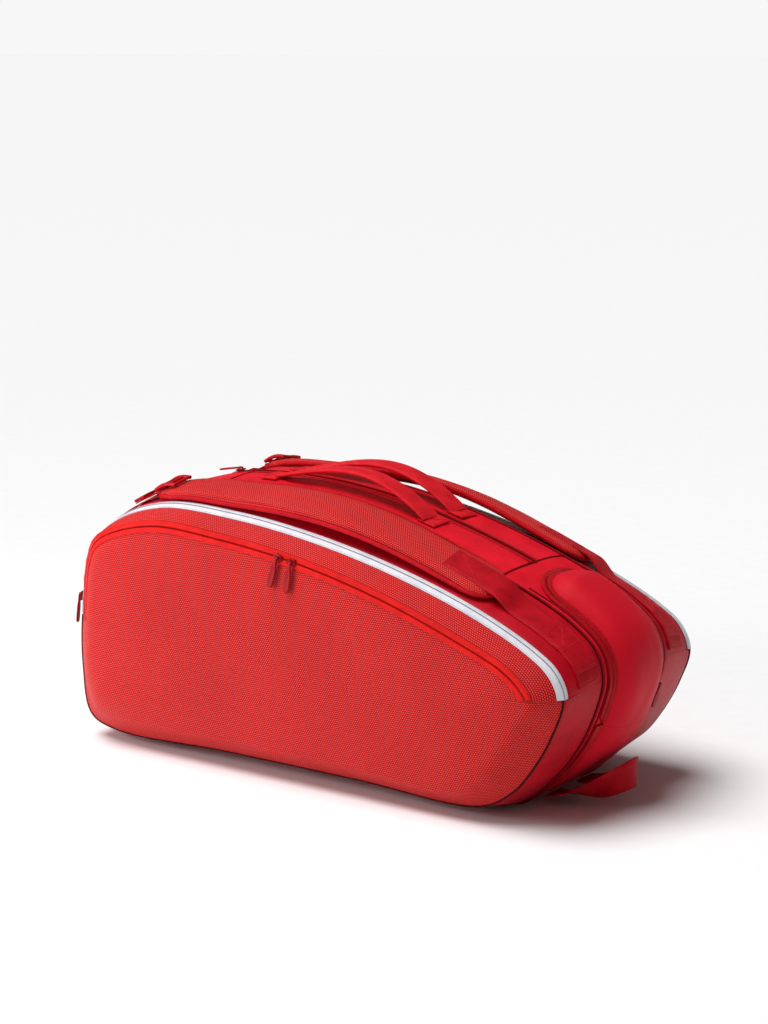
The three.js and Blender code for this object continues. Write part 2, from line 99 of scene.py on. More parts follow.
def spline(points):
    """A closed centripetal Catmull-Rom curve, PER samples to a station."""
    p = np.array(points, float)
    rows = []
    w = np.linspace(0, 1, PER, endpoint=False)[:, None]
    for i in range(len(p)):
        p0, p1, p2, p3 = (p[(i + k) % len(p)] for k in (-1, 0, 1, 2))
        d0, d1, d2 = (np.sum((b - a) ** 2) ** 0.25 for a, b in ((p0, p1), (p1, p2), (p2, p3)))
        t1 = ((p1 - p0) / d0 - (p2 - p0) / (d0 + d1) + (p2 - p1) / d1) * d1
        t2 = ((p2 - p1) / d1 - (p3 - p1) / (d1 + d2) + (p3 - p2) / d2) * d1
        cubic = (2 * p1 - 2 * p2 + t1 + t2) * w**3 + (3 * p2 - 3 * p1 - 2 * t1 - t2) * w**2
        rows.append(p1 + t1 * w + cubic)
    out = np.concatenate(rows)
    out[:, 2] = np.maximum(out[:, 2], 0)
    return out


OUTLINES = [
    spline([[d[0], DIVIDER_Y, d[1]] for d, _, _, _ in STATIONS]),
    spline([[z[0], ZIPPER_Y, z[1]] for _, z, _, _ in STATIONS]),
    spline([[p[0], y, p[1]] for _, _, p, y in STATIONS]),
]


def at(outline, s):
    table = OUTLINES[outline]
    f = (np.asarray(s, float) % COUNT) * PER
    i = np.floor(f).astype(int) % len(table)
    w = (f - np.floor(f))[..., None]
    return table[i] * (1 - w) + table[(i + 1) % len(table)] * w


def bare(s, y):
    """The outer skin at stations s and distances y from the middle plane."""
    s, y = np.broadcast_arrays(np.asarray(s, float), np.asarray(y, float))
    a, b, c = at(0, s), at(1, s), at(2, s)
    f = ((np.abs(y) - DIVIDER_Y) / (ZIPPER_Y - DIVIDER_Y))[..., None]
    g = ((np.abs(y) - ZIPPER_Y) / (PANEL_Y - ZIPPER_Y))[..., None]
    out = np.where(f < 1, a + (b - a) * np.clip(f, 0, 1), b + (c - b) * np.clip(g, 0, 2))
    out[..., 1] = np.where(f[..., 0] <= 0, y, np.sign(y) * out[..., 1])
    return out


def normal(s, y):
    s, y = np.broadcast_arrays(np.asarray(s, float), np.asarray(y, float))
    along = bare(s + 0.02, y) - bare(s - 0.02, y)
    side = np.where(np.abs(y) < DIVIDER_Y, 0, y)
    across = bare(s, side + 1.0) - bare(s, side - 1.0)
    n = np.cross(along, across)
    return n / np.linalg.norm(n, axis=-1, keepdims=True)


def step(x, low, high):
    t = np.clip((x - low) / (high - low), 0, 1)
    return t * t * (3 - 2 * t)


def skin(s, y, lift=0.0):
    s, y = np.broadcast_arrays(np.asarray(s, float), np.asarray(y, float))
    across = np.where(np.abs(y) < DIVIDER_Y, 1 - (y / DIVIDER_Y) ** 2, 0)
    crown = CROWN * across * step(s, 0.5, 3) * step(BASE_END - s, 0.5, 3)
    return bare(s, y) + normal(s, y) * (np.asarray(lift) + crown)[..., None]


def station_at(x):
    s = np.linspace(5, 12, 1401)
    return float(s[np.argmin(np.abs(at(0, s)[:, 0] - x))])


# ---- Mesh making ----
def unit(v):
    return v / np.linalg.norm(v, axis=-1, keepdims=True)


def run_length(path):
    """Distance along a path at each of its points."""
    return np.concatenate([[0], np.cumsum(np.linalg.norm(np.diff(path, axis=0), axis=1))])


def directions(s, y):
    """Along the skin and off it, at one station."""
    return skin(s + 0.05, y) - skin(s - 0.05, y), normal(s, y)


def waves(p, size, seed):
    """Smooth noise from -1 to 1 over points p, with features of about size."""
    rng = np.random.default_rng(seed)
    total = np.zeros(p.shape[:-1])
    for _ in range(7):
        d = rng.normal(size=3)
        d *= rng.uniform(0.6, 1.7) / np.linalg.norm(d)
        warp = 1.3 * np.sin(p @ rng.normal(size=3) / size * 0.7 + rng.uniform(0, 6))
        total += np.sin(p @ d / size * math.pi + rng.uniform(0, 6) + warp)
    return total / 7 * 1.6


def to_metres(points, side=1):
    p = np.array(points, float)
    p[..., 0] += SHIFT_X
    p[..., 1] *= side
    return p / 1000


def make(name, points, faces, look, body, side=1, uv=None):
    """A mesh piece from points in millimetres, riding on a body. uv is in units of 100 mm."""
    mesh = bpy.data.meshes.new(name)
    mesh.from_pydata(to_metres(points, side).reshape(-1, 3).tolist(), [], [list(f) for f in faces])
    if uv is not None:
        layer = mesh.uv_layers.new(name="UVMap")
        loops = np.zeros(len(mesh.loops), int)
        mesh.loops.foreach_get("vertex_index", loops)
        layer.data.foreach_set("uv", np.asarray(uv, float).reshape(-1, 2)[loops].ravel())
    bm = bmesh.new()
    bm.from_mesh(mesh)
    bmesh.ops.recalc_face_normals(bm, faces=bm.faces)
    bm.to_mesh(mesh)
    bm.free()
    mesh.polygons.foreach_set("use_smooth", [True] * len(mesh.polygons))
    mesh.set_sharp_from_angle(angle=math.radians(50))
    obj = bpy.data.objects.new(name, mesh)
    bpy.context.scene.collection.objects.link(obj)
    obj.data.materials.append(LOOKS[look])
    if body:
        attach(obj, body)
    return obj


def grid_uv(outer):
    """Arc lengths along the two directions of a grid of points, in units of 100 mm."""
    n, m = outer.shape[:2]
    row, col = outer[:, m // 2], outer[n // 2]
    uu, vv = np.meshgrid(run_length(row) / 100, run_length(col) / 100, indexing="ij")
    return np.stack([uu, vv], -1)


def shell(name, outer, inner, look, body, side=1, uv=None, ring=False):
    """A closed wall between two grids of points. ring joins the first row to the last."""
    n, m = outer.shape[:2]
    k = n * m
    rows = n if ring else n - 1
    faces = []
    for i in range(rows):
        a, b = i * m, ((i + 1) % n) * m
        for j in range(m - 1):
            faces.append((a + j, b + j, b + j + 1, a + j + 1))
            faces.append((k + a + j, k + a + j + 1, k + b + j + 1, k + b + j))
        faces.append((a, k + a, k + b, b))
        faces.append((a + m - 1, b + m - 1, k + b + m - 1, k + a + m - 1))
    if not ring:
        for j in range(m - 1):
            e = (n - 1) * m
            faces.append((j, j + 1, k + j + 1, k + j))
            faces.append((e + j, k + e + j, k + e + j + 1, e + j + 1))
    uv = grid_uv(outer) if uv is None else uv
    points = np.concatenate([outer.reshape(-1, 3), inner.reshape(-1, 3)])
    both = np.concatenate([uv.reshape(-1, 2), uv.reshape(-1, 2)])
    return make(name, points, faces, look, body, side, both)


def spread(a, b, n, edge=0.6):
    """n values from a to b, closer together near both ends."""
    t = np.linspace(0, 1, n)
    return a + (b - a) * ((1 - edge) * t + edge * (0.5 - 0.5 * np.cos(math.pi * t)))


def band(
    name, stations, ys, look, body, side=1,
    lift=0.0, puff=0.0, roll=1.2, thick=3.0, wrinkle=0.0, size=40.0,
):
    """A panel of the skin whose edges dip into its seams."""
    s, y = np.meshgrid(stations, ys, indexing="ij")
    v = (y - ys[0]) / (ys[-1] - ys[0])
    edge = np.minimum(v, 1 - v) * abs(ys[-1] - ys[0])
    base = skin(s, y)
    up = lift + puff * np.sin(math.pi * v) ** 0.8 - roll * np.exp(-edge / 2.2)
    up = up + wrinkle * waves(base, size, len(name)) * np.clip(edge / 14, 0, 1)
    return shell(name, skin(s, y, up), skin(s, y, up - thick), look, body, side)


def tube(name, path, radius, look, body, side=1, sides=8, ring=False, flat=None):
    """A round cord along a path. flat is (direction, factor) to widen or flatten it."""
    path = np.asarray(path, float)
    if ring:
        ahead = np.roll(path, -1, 0) - np.roll(path, 1, 0)
    else:
        ahead = np.gradient(path, axis=0)
    ahead = unit(ahead)
    ref = np.array([0.0, 1.0, 0.0]) if flat is None else np.asarray(flat[0], float)
    across = unit(ref - ahead * np.sum(ahead * ref, axis=-1, keepdims=True))
    up = np.cross(ahead, across)
    wide = radius * (1 if flat is None else flat[1])
    n = len(path)
    angle = np.linspace(0, 2 * math.pi, sides, endpoint=False)
    grid = (
        path[:, None]
        + across[:, None] * (wide * np.cos(angle))[None, :, None]
        + up[:, None] * (radius * np.sin(angle))[None, :, None]
    )
    faces = []
    for i in range(n if ring else n - 1):
        a, b = i * sides, ((i + 1) % n) * sides
        for j in range(sides):
            k = (j + 1) % sides
            faces.append((a + j, a + k, b + k, b + j))
    if not ring:
        faces.append(tuple(range(sides)))
        faces.append(tuple((n - 1) * sides + j for j in reversed(range(sides))))
    uv = np.stack(np.meshgrid(run_length(path) / 100, angle / 6.3 * 0.2, indexing="ij"), -1)
    return make(name, grid, faces, look, body, side, uv)


def resample(path, pitch):
    path = np.asarray(path, float)
    length = run_length(path)
    marks = np.linspace(0, length[-1], max(2, round(length[-1] / pitch) + 1))
    return np.stack([np.interp(marks, length, path[:, k]) for k in range(3)], 1)


def stitches(name, lines, look, body, side=1, pitch=3.4, length=2.4, wide=0.75, high=0.5):
    """Rows of thread stitches. Each line is (points, normals or one normal)."""
    points, faces = [], []
    for path, up in lines:
        marks = resample(path, pitch)
        ups = np.broadcast_to(np.asarray(up, float), np.asarray(path).shape)
        ups = resample_like(path, ups, marks)
        for a, b, n in zip(marks[:-1], marks[1:], ups[:-1]):
            d = (b - a) / max(np.linalg.norm(b - a), 1e-9)
            c = (a + b) / 2
            n = n - d * (n @ d)
            n /= max(np.linalg.norm(n), 1e-9)
            w = np.cross(d, n)
            k = len(points)
            for t, g in ((-0.5, 0.35), (-0.2, 1), (0.2, 1), (0.5, 0.35)):
                m = c + d * length * t
                points += [m - w * wide / 2 * g, m + n * high * g, m + w * wide / 2 * g, m - n * high * g]
            for i in range(3):
                for j in range(4):
                    p, q = k + 4 * i + j, k + 4 * i + (j + 1) % 4
                    faces.append((p, q, q + 4, p + 4))
            faces += [(k, k + 3, k + 2, k + 1), (k + 12, k + 13, k + 14, k + 15)]
    return make(name, np.array(points), faces, look, body, side)


def resample_like(path, values, marks):
    near = np.argmin(np.linalg.norm(np.asarray(path)[None] - marks[:, None], axis=2), axis=1)
    return np.asarray(values)[near]


def skin_line(stations, y, lift):
    s = np.asarray(stations, float)
    return skin(s, np.full_like(s, y), lift), normal(s, np.full_like(s, y))


# ---- Materials ----
class Nodes:
    def __init__(self, name):
        self.material = bpy.data.materials.new(name)
        self.material.use_nodes = True
        self.tree = self.material.node_tree
        self.tree.nodes.clear()
        self.shader = self.tree.nodes.new("ShaderNodeBsdfPrincipled")
        out = self.tree.nodes.new("ShaderNodeOutputMaterial")
        self.tree.links.new(self.shader.outputs[0], out.inputs[0])

    def new(self, kind, **values):
        node = self.tree.nodes.new("ShaderNode" + kind)
        for key, value in values.items():
            setattr(node, key, value)
        return node

    def put(self, socket, value):
        if isinstance(value, bpy.types.NodeSocket):
            self.tree.links.new(value, socket)
        else:
            socket.default_value = value

    def math(self, operation, a, b=0.0):
        node = self.new("Math", operation=operation)
        self.put(node.inputs[0], a)
        self.put(node.inputs[1], b)
        return node.outputs[0]

    def add(self, a, b):
        return self.math("ADD", a, b)

    def mul(self, a, b):
        return self.math("MULTIPLY", a, b)

    def sin(self, a):
        return self.math("SINE", a)

    def uv(self):
        node = self.new("TexCoord")
        split = self.new("SeparateXYZ")
        self.put(split.inputs[0], node.outputs["UV"])
        return node.outputs["UV"], split.outputs[0], split.outputs[1]

    def place(self):
        return self.new("TexCoord").outputs["Object"]

    def noise(self, vector, scale, detail=2.0, rough=0.5):
        node = self.new("TexNoise")
        self.put(node.inputs["Vector"], vector)
        self.put(node.inputs["Scale"], scale)
        self.put(node.inputs["Detail"], detail)
        self.put(node.inputs["Roughness"], rough)
        return node.outputs["Fac"]

    def ramp(self, value, stops):
        node = self.new("ValToRGB")
        self.put(node.inputs[0], value)
        ramp = node.color_ramp
        while len(ramp.elements) < len(stops):
            ramp.elements.new(0.5)
        for element, (place, colour) in zip(ramp.elements, stops):
            element.position = place
            element.color = (*colour, 1)
        return node.outputs[0]

    def mix(self, factor, a, b, blend="MIX"):
        node = self.new("Mix", data_type="RGBA", blend_type=blend)
        self.put(node.inputs[0], factor)
        for socket, value in ((node.inputs[6], a), (node.inputs[7], b)):
            self.put(socket, (*value, 1) if isinstance(value, tuple) and len(value) == 3 else value)
        return node.outputs[2]

    def bump(self, height, distance, strength=1.0, onto=None):
        node = self.new("Bump")
        self.put(node.inputs["Height"], height)
        self.put(node.inputs["Distance"], distance)
        self.put(node.inputs["Strength"], strength)
        if onto is not None:
            self.put(node.inputs["Normal"], onto)
        return node.outputs[0]

    def finish(self, colour, rough, bump, sheen=0.0, specular=0.5, tint=None, coat=0.0):
        put = lambda name, value: self.put(self.shader.inputs[name], value)
        put("Base Color", (*colour, 1) if isinstance(colour, tuple) else colour)
        put("Roughness", rough)
        put("Normal", bump)
        put("Specular IOR Level", specular)
        put("Sheen Weight", sheen)
        put("Sheen Roughness", 0.4)
        if tint:
            for socket in ("Specular Tint", "Sheen Tint"):
                put(socket, tuple(0.25 + 0.75 * c / max(tint) for c in tint) + (1.0,))
        put("Coat Weight", coat)
        return self.material


def basket_weave(name, pitch, dark, mid, light):
    """Coarse basket weave: staggered pillows of yarn, with painted shade in the gaps between them and a
    painted highlight on each pillow's top.
    """
    n = Nodes(name)
    uv, u, v = n.uv()
    row = n.mul(v, 100 / (pitch * 0.8))
    stagger = n.mul(n.math("FLOOR", row), 0.5)
    column = n.add(n.mul(u, 100 / pitch), stagger)
    across = n.math("ABSOLUTE", n.sin(n.mul(column, math.pi)))
    down = n.math("ABSOLUTE", n.sin(n.mul(row, math.pi)))
    pillow = n.math("POWER", n.mul(across, down), 0.7)
    fibre = n.noise(uv, 900, 1)
    fuzz = n.mul(n.math("SUBTRACT", fibre, 0.5), 0.35)
    tone = n.add(pillow, fuzz)
    # The ramp's dark end is painted shade in the gaps, and its light end is a painted highlight on the pillow
    # tops.
    colour = n.ramp(tone, [(0.05, dark), (0.5, mid), (0.95, light)])
    cloud = n.noise(n.place(), 9, 3)
    colour = n.mix(n.mul(cloud, 0.3), colour, dark)
    height = n.add(pillow, n.mul(fibre, 0.15))
    normal_ = n.bump(height, 0.0006, 0.9)
    return n.finish(colour, 0.5, normal_, sheen=0.04, specular=0.22, tint=light)


def smooth_cloth(name, colour, deep, rough=0.45, weave=1.1, crease=0.6):
    """Fine plain weave with soft creases, the creases darkened by painted shade."""
    n = Nodes(name)
    _, u, v = n.uv()
    a = n.sin(n.mul(u, 100 * math.pi / weave))
    b = n.sin(n.mul(v, 100 * math.pi / weave))
    thread = n.mul(a, b)
    place = n.place()
    crumple = n.noise(place, 26, 3, 0.55)
    # The crumple noise that bumps the creases also darkens the colour in their hollows: painted shade.
    tone = n.add(n.mul(crumple, 0.8), n.mul(thread, 0.08))
    shade = n.ramp(tone, [(0.2, deep), (0.62, colour)])
    soft = n.bump(crumple, 0.004, crease * 0.5)
    normal_ = n.bump(thread, 0.00012, 0.7, soft)
    gloss = n.add(n.mul(crumple, 0.15), rough - 0.07)
    return n.finish(shade, gloss, normal_, sheen=0.04, specular=0.28, tint=colour)


def heather_cloth(name, colour, deep, light):
    """Brushed two-tone fabric with short flecks."""
    n = Nodes(name)
    uv, _, _ = n.uv()
    stretch = n.new("Mapping")
    n.put(stretch.inputs["Vector"], uv)
    stretch.inputs["Scale"].default_value = (1.0, 1.6, 1.0)
    fleck = n.noise(stretch.outputs[0], 95, 3, 0.7)
    fine = n.noise(uv, 420, 1)
    tone = n.add(n.mul(fleck, 0.7), n.mul(fine, 0.3))
    shade = n.ramp(tone, [(0.34, deep), (0.52, colour), (0.7, light)])
    crumple = n.noise(n.place(), 18, 3, 0.5)
    soft = n.bump(crumple, 0.005, 0.35)
    normal_ = n.bump(tone, 0.0004, 0.6, soft)
    return n.finish(shade, 0.55, normal_, sheen=0.06, specular=0.25, tint=light)


def ribbed_tape(name, colour, deep, pitch, rough):
    """Woven tape or webbing with ribs along its width, with painted shade in the rib grooves and in the
    hollows of a broad undulation.
    """
    n = Nodes(name)
    _, along, cross = n.uv()
    rib = n.sin(n.mul(along, 200 * math.pi / pitch))
    cord = n.sin(n.mul(cross, 200 * math.pi / (pitch * 2.1)))
    weave = n.add(n.mul(rib, 0.6), n.mul(n.mul(rib, cord), 0.4))
    shaded_undulation = n.noise(n.place(), 60, 3)
    # The rib waves and the broad undulation darken the colour where their bumps sink: painted shade in the
    # grooves and hollows.
    tone = n.add(n.mul(weave, 0.22), n.mul(shaded_undulation, 0.9))
    shade = n.ramp(tone, [(0.15, deep), (0.65, colour)])
    normal_ = n.bump(weave, 0.0002, 0.8, n.bump(shaded_undulation, 0.001, 0.25))
    return n.finish(shade, rough, normal_, sheen=0.03, specular=0.28, tint=colour)


def moulded(name, colour, deep, rough, grain=0.4):
    """Moulded plastic or rubber with fine grain and duller patches."""
    n = Nodes(name)
    place = n.place()
    fine = n.noise(place, 2200, 2)
    patch = n.noise(place, 90, 3)
    shade = n.ramp(patch, [(0.25, deep), (0.7, colour)])
    normal_ = n.bump(fine, 0.00008, grain, n.bump(patch, 0.0004, 0.2))
    gloss = n.add(n.mul(patch, 0.2), rough - 0.1)
    return n.finish(shade, gloss, normal_, specular=0.35, tint=colour, coat=0.04)


def quilted(name, colour, deep):
    """Dark lining stitched in diamonds over thin foam, with painted shade darkening each pad towards its
    stitched grooves.
    """
    n = Nodes(name)
    split = n.new("SeparateXYZ")
    n.put(split.inputs[0], n.place())
    a = n.add(split.outputs[0], split.outputs[2])
    b = n.math("SUBTRACT", split.outputs[0], split.outputs[2])
    ridge = lambda x: n.math("POWER", n.math("ABSOLUTE", n.sin(n.mul(x, 60.0))), 0.3)
    pad = n.mul(ridge(a), ridge(b))
    fine = n.noise(n.place(), 900, 2)
    # The pad pattern that bumps the quilting also darkens the colour towards the grooves: painted shade.
    shade = n.ramp(n.mul(pad, n.add(fine, 0.5)), [(0.1, deep), (0.9, colour)])
    normal_ = n.bump(fine, 0.0002, 0.5, n.bump(pad, 0.003, 0.8))
    return n.finish(shade, 0.7, normal_, sheen=0.2, specular=0.3)


def floor_look(name):
    n = Nodes(name)
    grain = n.noise(n.place(), 40, 2)
    shade = n.ramp(grain, [(0.0, (0.86, 0.86, 0.865)), (1.0, (0.9, 0.9, 0.9))])
    return n.finish(shade, 0.9, n.bump(grain, 0.0002, 0.1), specular=0.1)


LOOKS = {
    # Basket weave colours: painted shade for the gaps, the cloth's red, then a painted highlight for the
    # pillow tops.
    "basket": basket_weave(
        "basket_weave_red", 3.1, (0.13, 0.0005, 0.0015), (0.78, 0.014, 0.018), (1.0, 0.085, 0.075)
    ),
    "smooth": smooth_cloth("smooth_cloth_red", (0.6, 0.003, 0.016), (0.4, 0.001, 0.009)),
    # A lighter copy of the smooth cloth for the upper surfaces: its extra brightness is painted light.
    "top": smooth_cloth("smooth_cloth_red_lit_top", (0.92, 0.008, 0.026), (0.64, 0.003, 0.016), 0.42, 1.3, 0.8),
    "heather": heather_cloth("heather_cloth", (0.66, 0.005, 0.02), (0.42, 0.002, 0.01), (0.86, 0.026, 0.04)),
    "white": ribbed_tape("white_tape", (0.82, 0.81, 0.86), (0.62, 0.62, 0.7), 1.4, 0.4),
    "red_tape": ribbed_tape("red_tape", (0.86, 0.014, 0.01), (0.62, 0.005, 0.006), 1.3, 0.45),
    "coil_red": moulded("coil_red", (0.4, 0.003, 0.006), (0.24, 0.001, 0.003), 0.35),
    "coil_grey": moulded("coil_grey", (0.3, 0.29, 0.32), (0.18, 0.18, 0.2), 0.4),
    "deep_tape": ribbed_tape("deep_tape", (0.56, 0.004, 0.012), (0.36, 0.002, 0.007), 1.3, 0.45),
    # A lighter copy of the webbing for the handles on top: its extra brightness is painted light.
    "handle": ribbed_tape("webbing_red_lit_handle", (0.86, 0.014, 0.026), (0.54, 0.004, 0.012), 1.6, 0.5),
    "webbing": ribbed_tape("webbing_red", (0.56, 0.004, 0.014), (0.33, 0.001, 0.007), 1.6, 0.5),
    "binding": ribbed_tape("binding_red", (0.66, 0.006, 0.016), (0.42, 0.002, 0.008), 1.0, 0.45),
    "piping": ribbed_tape("piping_red", (0.3, 0.001, 0.007), (0.12, 0.0005, 0.003), 1.2, 0.5),
    "piping_dark": ribbed_tape("piping_dark", (0.05, 0.001, 0.002), (0.02, 0.0005, 0.001), 1.2, 0.5),
    "plastic": moulded("plastic_red", (0.58, 0.006, 0.012), (0.42, 0.003, 0.008), 0.3),
    "rubber": moulded("rubber_red", (0.4, 0.004, 0.01), (0.26, 0.002, 0.006), 0.55, 0.8),
    "metal": moulded("slider_red", (0.34, 0.004, 0.008), (0.2, 0.002, 0.005), 0.22, 0.2),
    "thread": moulded("thread_red", (0.72, 0.03, 0.04), (0.5, 0.01, 0.015), 0.5),
    "thread_white": moulded("thread_white", (0.66, 0.66, 0.7), (0.48, 0.48, 0.52), 0.5),
    "lining": quilted("quilted_lining", (0.035, 0.03, 0.032), (0.012, 0.01, 0.011)),
    # Same weave for the base: painted shade in the gaps and a painted highlight on the pillow tops.
    "base": basket_weave("base_cloth", 2.2, (0.05, 0.002, 0.003), (0.16, 0.004, 0.008), (0.26, 0.01, 0.014)),
}


# ---- The side panel's face ----
EDGE = at(2, np.linspace(0, COUNT, 400))


def face_y(p, lift=0.0):
    """Distance of the side panel's face from the middle plane at points p."""
    d = np.hypot(p[..., 0, None] - EDGE[:, 0], p[..., 2, None] - EDGE[:, 2])
    k = np.argmin(d, axis=-1)
    near = np.take_along_axis(d, k[..., None], -1)[..., 0]
    edge_y = EDGE[k, 1]
    ease = lambda v: 1 - (1 - np.minimum(v, 1)) ** 2
    return edge_y + (PANEL_Y - edge_y) * ease(near / 34) + PANEL_CROWN * ease(near / 100) + lift


def inset_edge(s, inset):
    p = at(2, s)
    d = at(2, s + 0.03) - at(2, s - 0.03)
    inward = unit(np.stack([d[..., 2], np.zeros(d.shape[:-1]), -d[..., 0]], -1))
    return p + inward * np.asarray(inset)[..., None]


def face_line(stations, inset, lift):
    s = np.asarray(stations, float)
    p = inset_edge(s, np.full_like(s, inset))
    p[:, 1] = face_y(p, lift)
    return p


def half_face(stations, rows, inset):
    """Points of half the face, from its edge to the fold: spokes from the edge to a spine on the fold."""
    s = np.asarray(stations, float)
    start = inset_edge(s, np.full_like(s, inset))
    upper = s[0] < 10
    if upper:
        start[:, 2] = np.maximum(start[:, 2], LID_Z)
    else:
        start[:, 2] = np.minimum(start[:, 2], LID_Z)
    x0, x1 = (-290.0, 250.0) if upper else (250.0, -290.0)
    spine = np.linspace(x0, x1, len(s))
    t = rows[None, :, None]
    end = np.stack([spine, np.zeros(len(s)), np.full(len(s), LID_Z)], -1)[:, None]
    p = start[:, None] * (1 - t) + end * t
    p[..., 1] = face_y(p)
    return p


# ---- One side of the bag ----
def side_fabric(name, k):
    """Fabric panels and piping of one side. k is -1 on the near side and 1 on the far side."""
    rows = spread(0, 1, 26, 0.3)
    over = np.linspace(3.004, 12.996, 150)
    p = half_face(over, rows, 11.5)
    depth = np.minimum(rows * 40, 3.0)[None]
    p[..., 1] += 0.6 * waves(p, 120, 4) * depth / 3 - 0.8 * np.exp(-rows * 60)[None]
    inner = p.copy()
    inner[..., 1] -= 5
    uv = np.stack([p[..., 0], p[..., 2]], -1) / 100
    front = shell(name + "_pocket_front_cloth", p, inner, "basket", name + "_pocket", k, uv)
    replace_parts(front, name + "_pocket_front")

    # Lower half of the side panel with the band that wraps under the bag, as one cloth.
    under = np.linspace(13.004, 22.996, 150)
    p = half_face(under, rows, 0.0)
    cols = np.linspace(147.2, PANEL_Y, 12)
    s, y = np.meshgrid(under, cols, indexing="ij")
    wrap = bare(s, y)
    whole = np.concatenate([wrap[:, :-1], p], axis=1)
    for _ in range(2):
        whole[:, 1:-1] = (whole[:, :-2] + 2 * whole[:, 1:-1] + whole[:, 2:]) / 4
    whole[..., 2] = np.maximum(whole[..., 2], 0.8)
    whole[..., 1] += 0.6 * waves(whole, 120, 4) * np.linspace(0, 1, whole.shape[1])[None]
    inner = whole.copy()
    centre = np.array([-20.0, 90.0, LID_Z])
    inner += unit(centre - whole) * 4.5
    inner[..., 2] = np.where(np.abs(whole[..., 2] - LID_Z) < 0.01, LID_Z, inner[..., 2])
    hop = np.linalg.norm(np.diff(whole, axis=1), axis=2)
    run = np.concatenate([np.zeros((len(under), 1)), np.cumsum(hop, axis=1)], 1)
    uv = np.stack([whole[..., 0], whole[..., 2]], -1) / 100
    flat = uv[:, 11:12]
    out = (uv[:, 11:12] - uv[:, 13:14])
    out /= np.maximum(np.linalg.norm(out, axis=-1, keepdims=True), 1e-6)
    reach = (run[:, 11:12] - run[:, :11])[..., None] / 100
    uv[:, :11] = flat + out * reach
    lower = shell(name + "_lower_cloth", whole, inner, "basket", "shell", k, uv)
    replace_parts(lower, name + "_lower_front", name + "_lower_band")

    lid = name + "_lid"
    ys = spread(151.0, PANEL_Y, 14)
    cloth = band(name + "_lid_band_cloth", over, ys, "basket", lid, k, puff=1.2, roll=1.0)
    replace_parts(cloth, name + "_lid_band")
    for part, run, stop in (("_gusset_cloth", over, 140), ("_gusset_lower_cloth", under, 147)):
        ys = spread(DIVIDER_Y + 0.5, stop, 22)
        gusset = band(name + part, run, ys, "smooth", "shell", k, 0, 1.0, 2.2, 2.5, 0.7)
        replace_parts(gusset, name + "_gusset")
    seam = np.linspace(0, COUNT, 360, endpoint=False)
    tube(name + "_divider_piping", skin_line(seam, DIVIDER_Y, 0.2)[0], 1.7, "piping", "shell", k, ring=True)
    line = skin_line(np.linspace(13.0, 23.0, 220), 147.0, -0.2)[0]
    tube(name + "_panel_piping", line, 1.5, "piping_dark", "shell", k)


def coil(name, path, up, look, body, k, wide=2.6, pitch=2.2):
    """The meshed coils of a zipper: short bars across the path."""
    marks = resample(path, pitch)
    ups = resample_like(path, np.broadcast_to(np.asarray(up, float), np.asarray(path).shape), marks)
    ahead = np.gradient(marks, axis=0)
    lines = []
    for m, n, d in zip(marks, ups, ahead):
        w = np.cross(d, n)
        w /= np.linalg.norm(w)
        lines.append((np.array([m - w * wide / 2, m + w * wide / 2]), n))
    return stitches(name, lines, look, body, k, pitch=wide, length=wide, wide=1.5, high=0.55)


def side_zippers(name, k):
    over = np.linspace(3.04, 12.97, 170)
    lid = name + "_lid"
    for part, ys, rides in (("body", (139.8, 145.7), "shell"), ("lid", (146.2, 152.2), lid)):
        rows = spread(*ys, 5)
        tape = band(f"{name}_white_tape_{part}", over, rows, "white", rides, k, 1.2, 0.2, 0.5, 1.2)
        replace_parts(tape, f"{name}_zip_tape_{part}")
    path, up = skin_line(over, 145.9, 1.2)
    coil(name + "_white_coil", path, up, "coil_grey", lid, k, 1.0, 1.6)
    run = np.linspace(3.1, 12.9, 400)
    lines = [skin_line(run, y, 1.5) for y in (140.8, 151.2)]
    stitches(name + "_white_stitching", lines[:1], "thread_white", "shell", k, 3.0, 2.0, 0.5, 0.3)
    stitches(name + "_white_stitching_lid", lines[1:], "thread_white", lid, k, 3.0, 2.0, 0.5, 0.3)

    s = np.linspace(3.05, 12.93, 170)
    for part, start, stop, body, node in (
        ("upper", -1.0, 5.9, lid, "_pocket_zip_upper"),
        ("lower", 7.0, 14.0, name + "_pocket", "_pocket_zip_lower"),
    ):
        insets = spread(start, stop, 6)
        rise = lambda i: 1.0 - 0.7 * abs(2 * (i - start) / (stop - start) - 1) ** 4
        grid = np.stack([face_line(s, i, rise(i)) for i in insets], 1)
        inner = grid - np.array([0, 1.4, 0])
        piece = shell(f"{name}_red_tape_{part}", grid, inner, "red_tape", body, k)
        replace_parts(piece, name + node)
    coil(name + "_red_coil", face_line(s, 6.45, 0.9), (0, 1, 0), "coil_red", lid, k, 1.6, 1.8)
    for i, body in ((0.4, lid), (12.6, name + "_pocket")):
        line = [(face_line(s, i, 1.3), (0, 1, 0))]
        stitches(f"{name}_red_stitching_{body}", line, "thread", body, k, 3.0, 2.0, 0.5, 0.3)


# ---- Zipper hardware ----
def local(points, origin, along, off):
    """Points of a local frame, x along and z off, to millimetres in the row frame."""
    x = np.array(along, float)
    x /= np.linalg.norm(x)
    z = np.array(off, float)
    z -= x * (z @ x)
    z /= np.linalg.norm(z)
    y = np.cross(z, x)
    return np.asarray(origin) + np.asarray(points) @ np.stack([x, y, z])


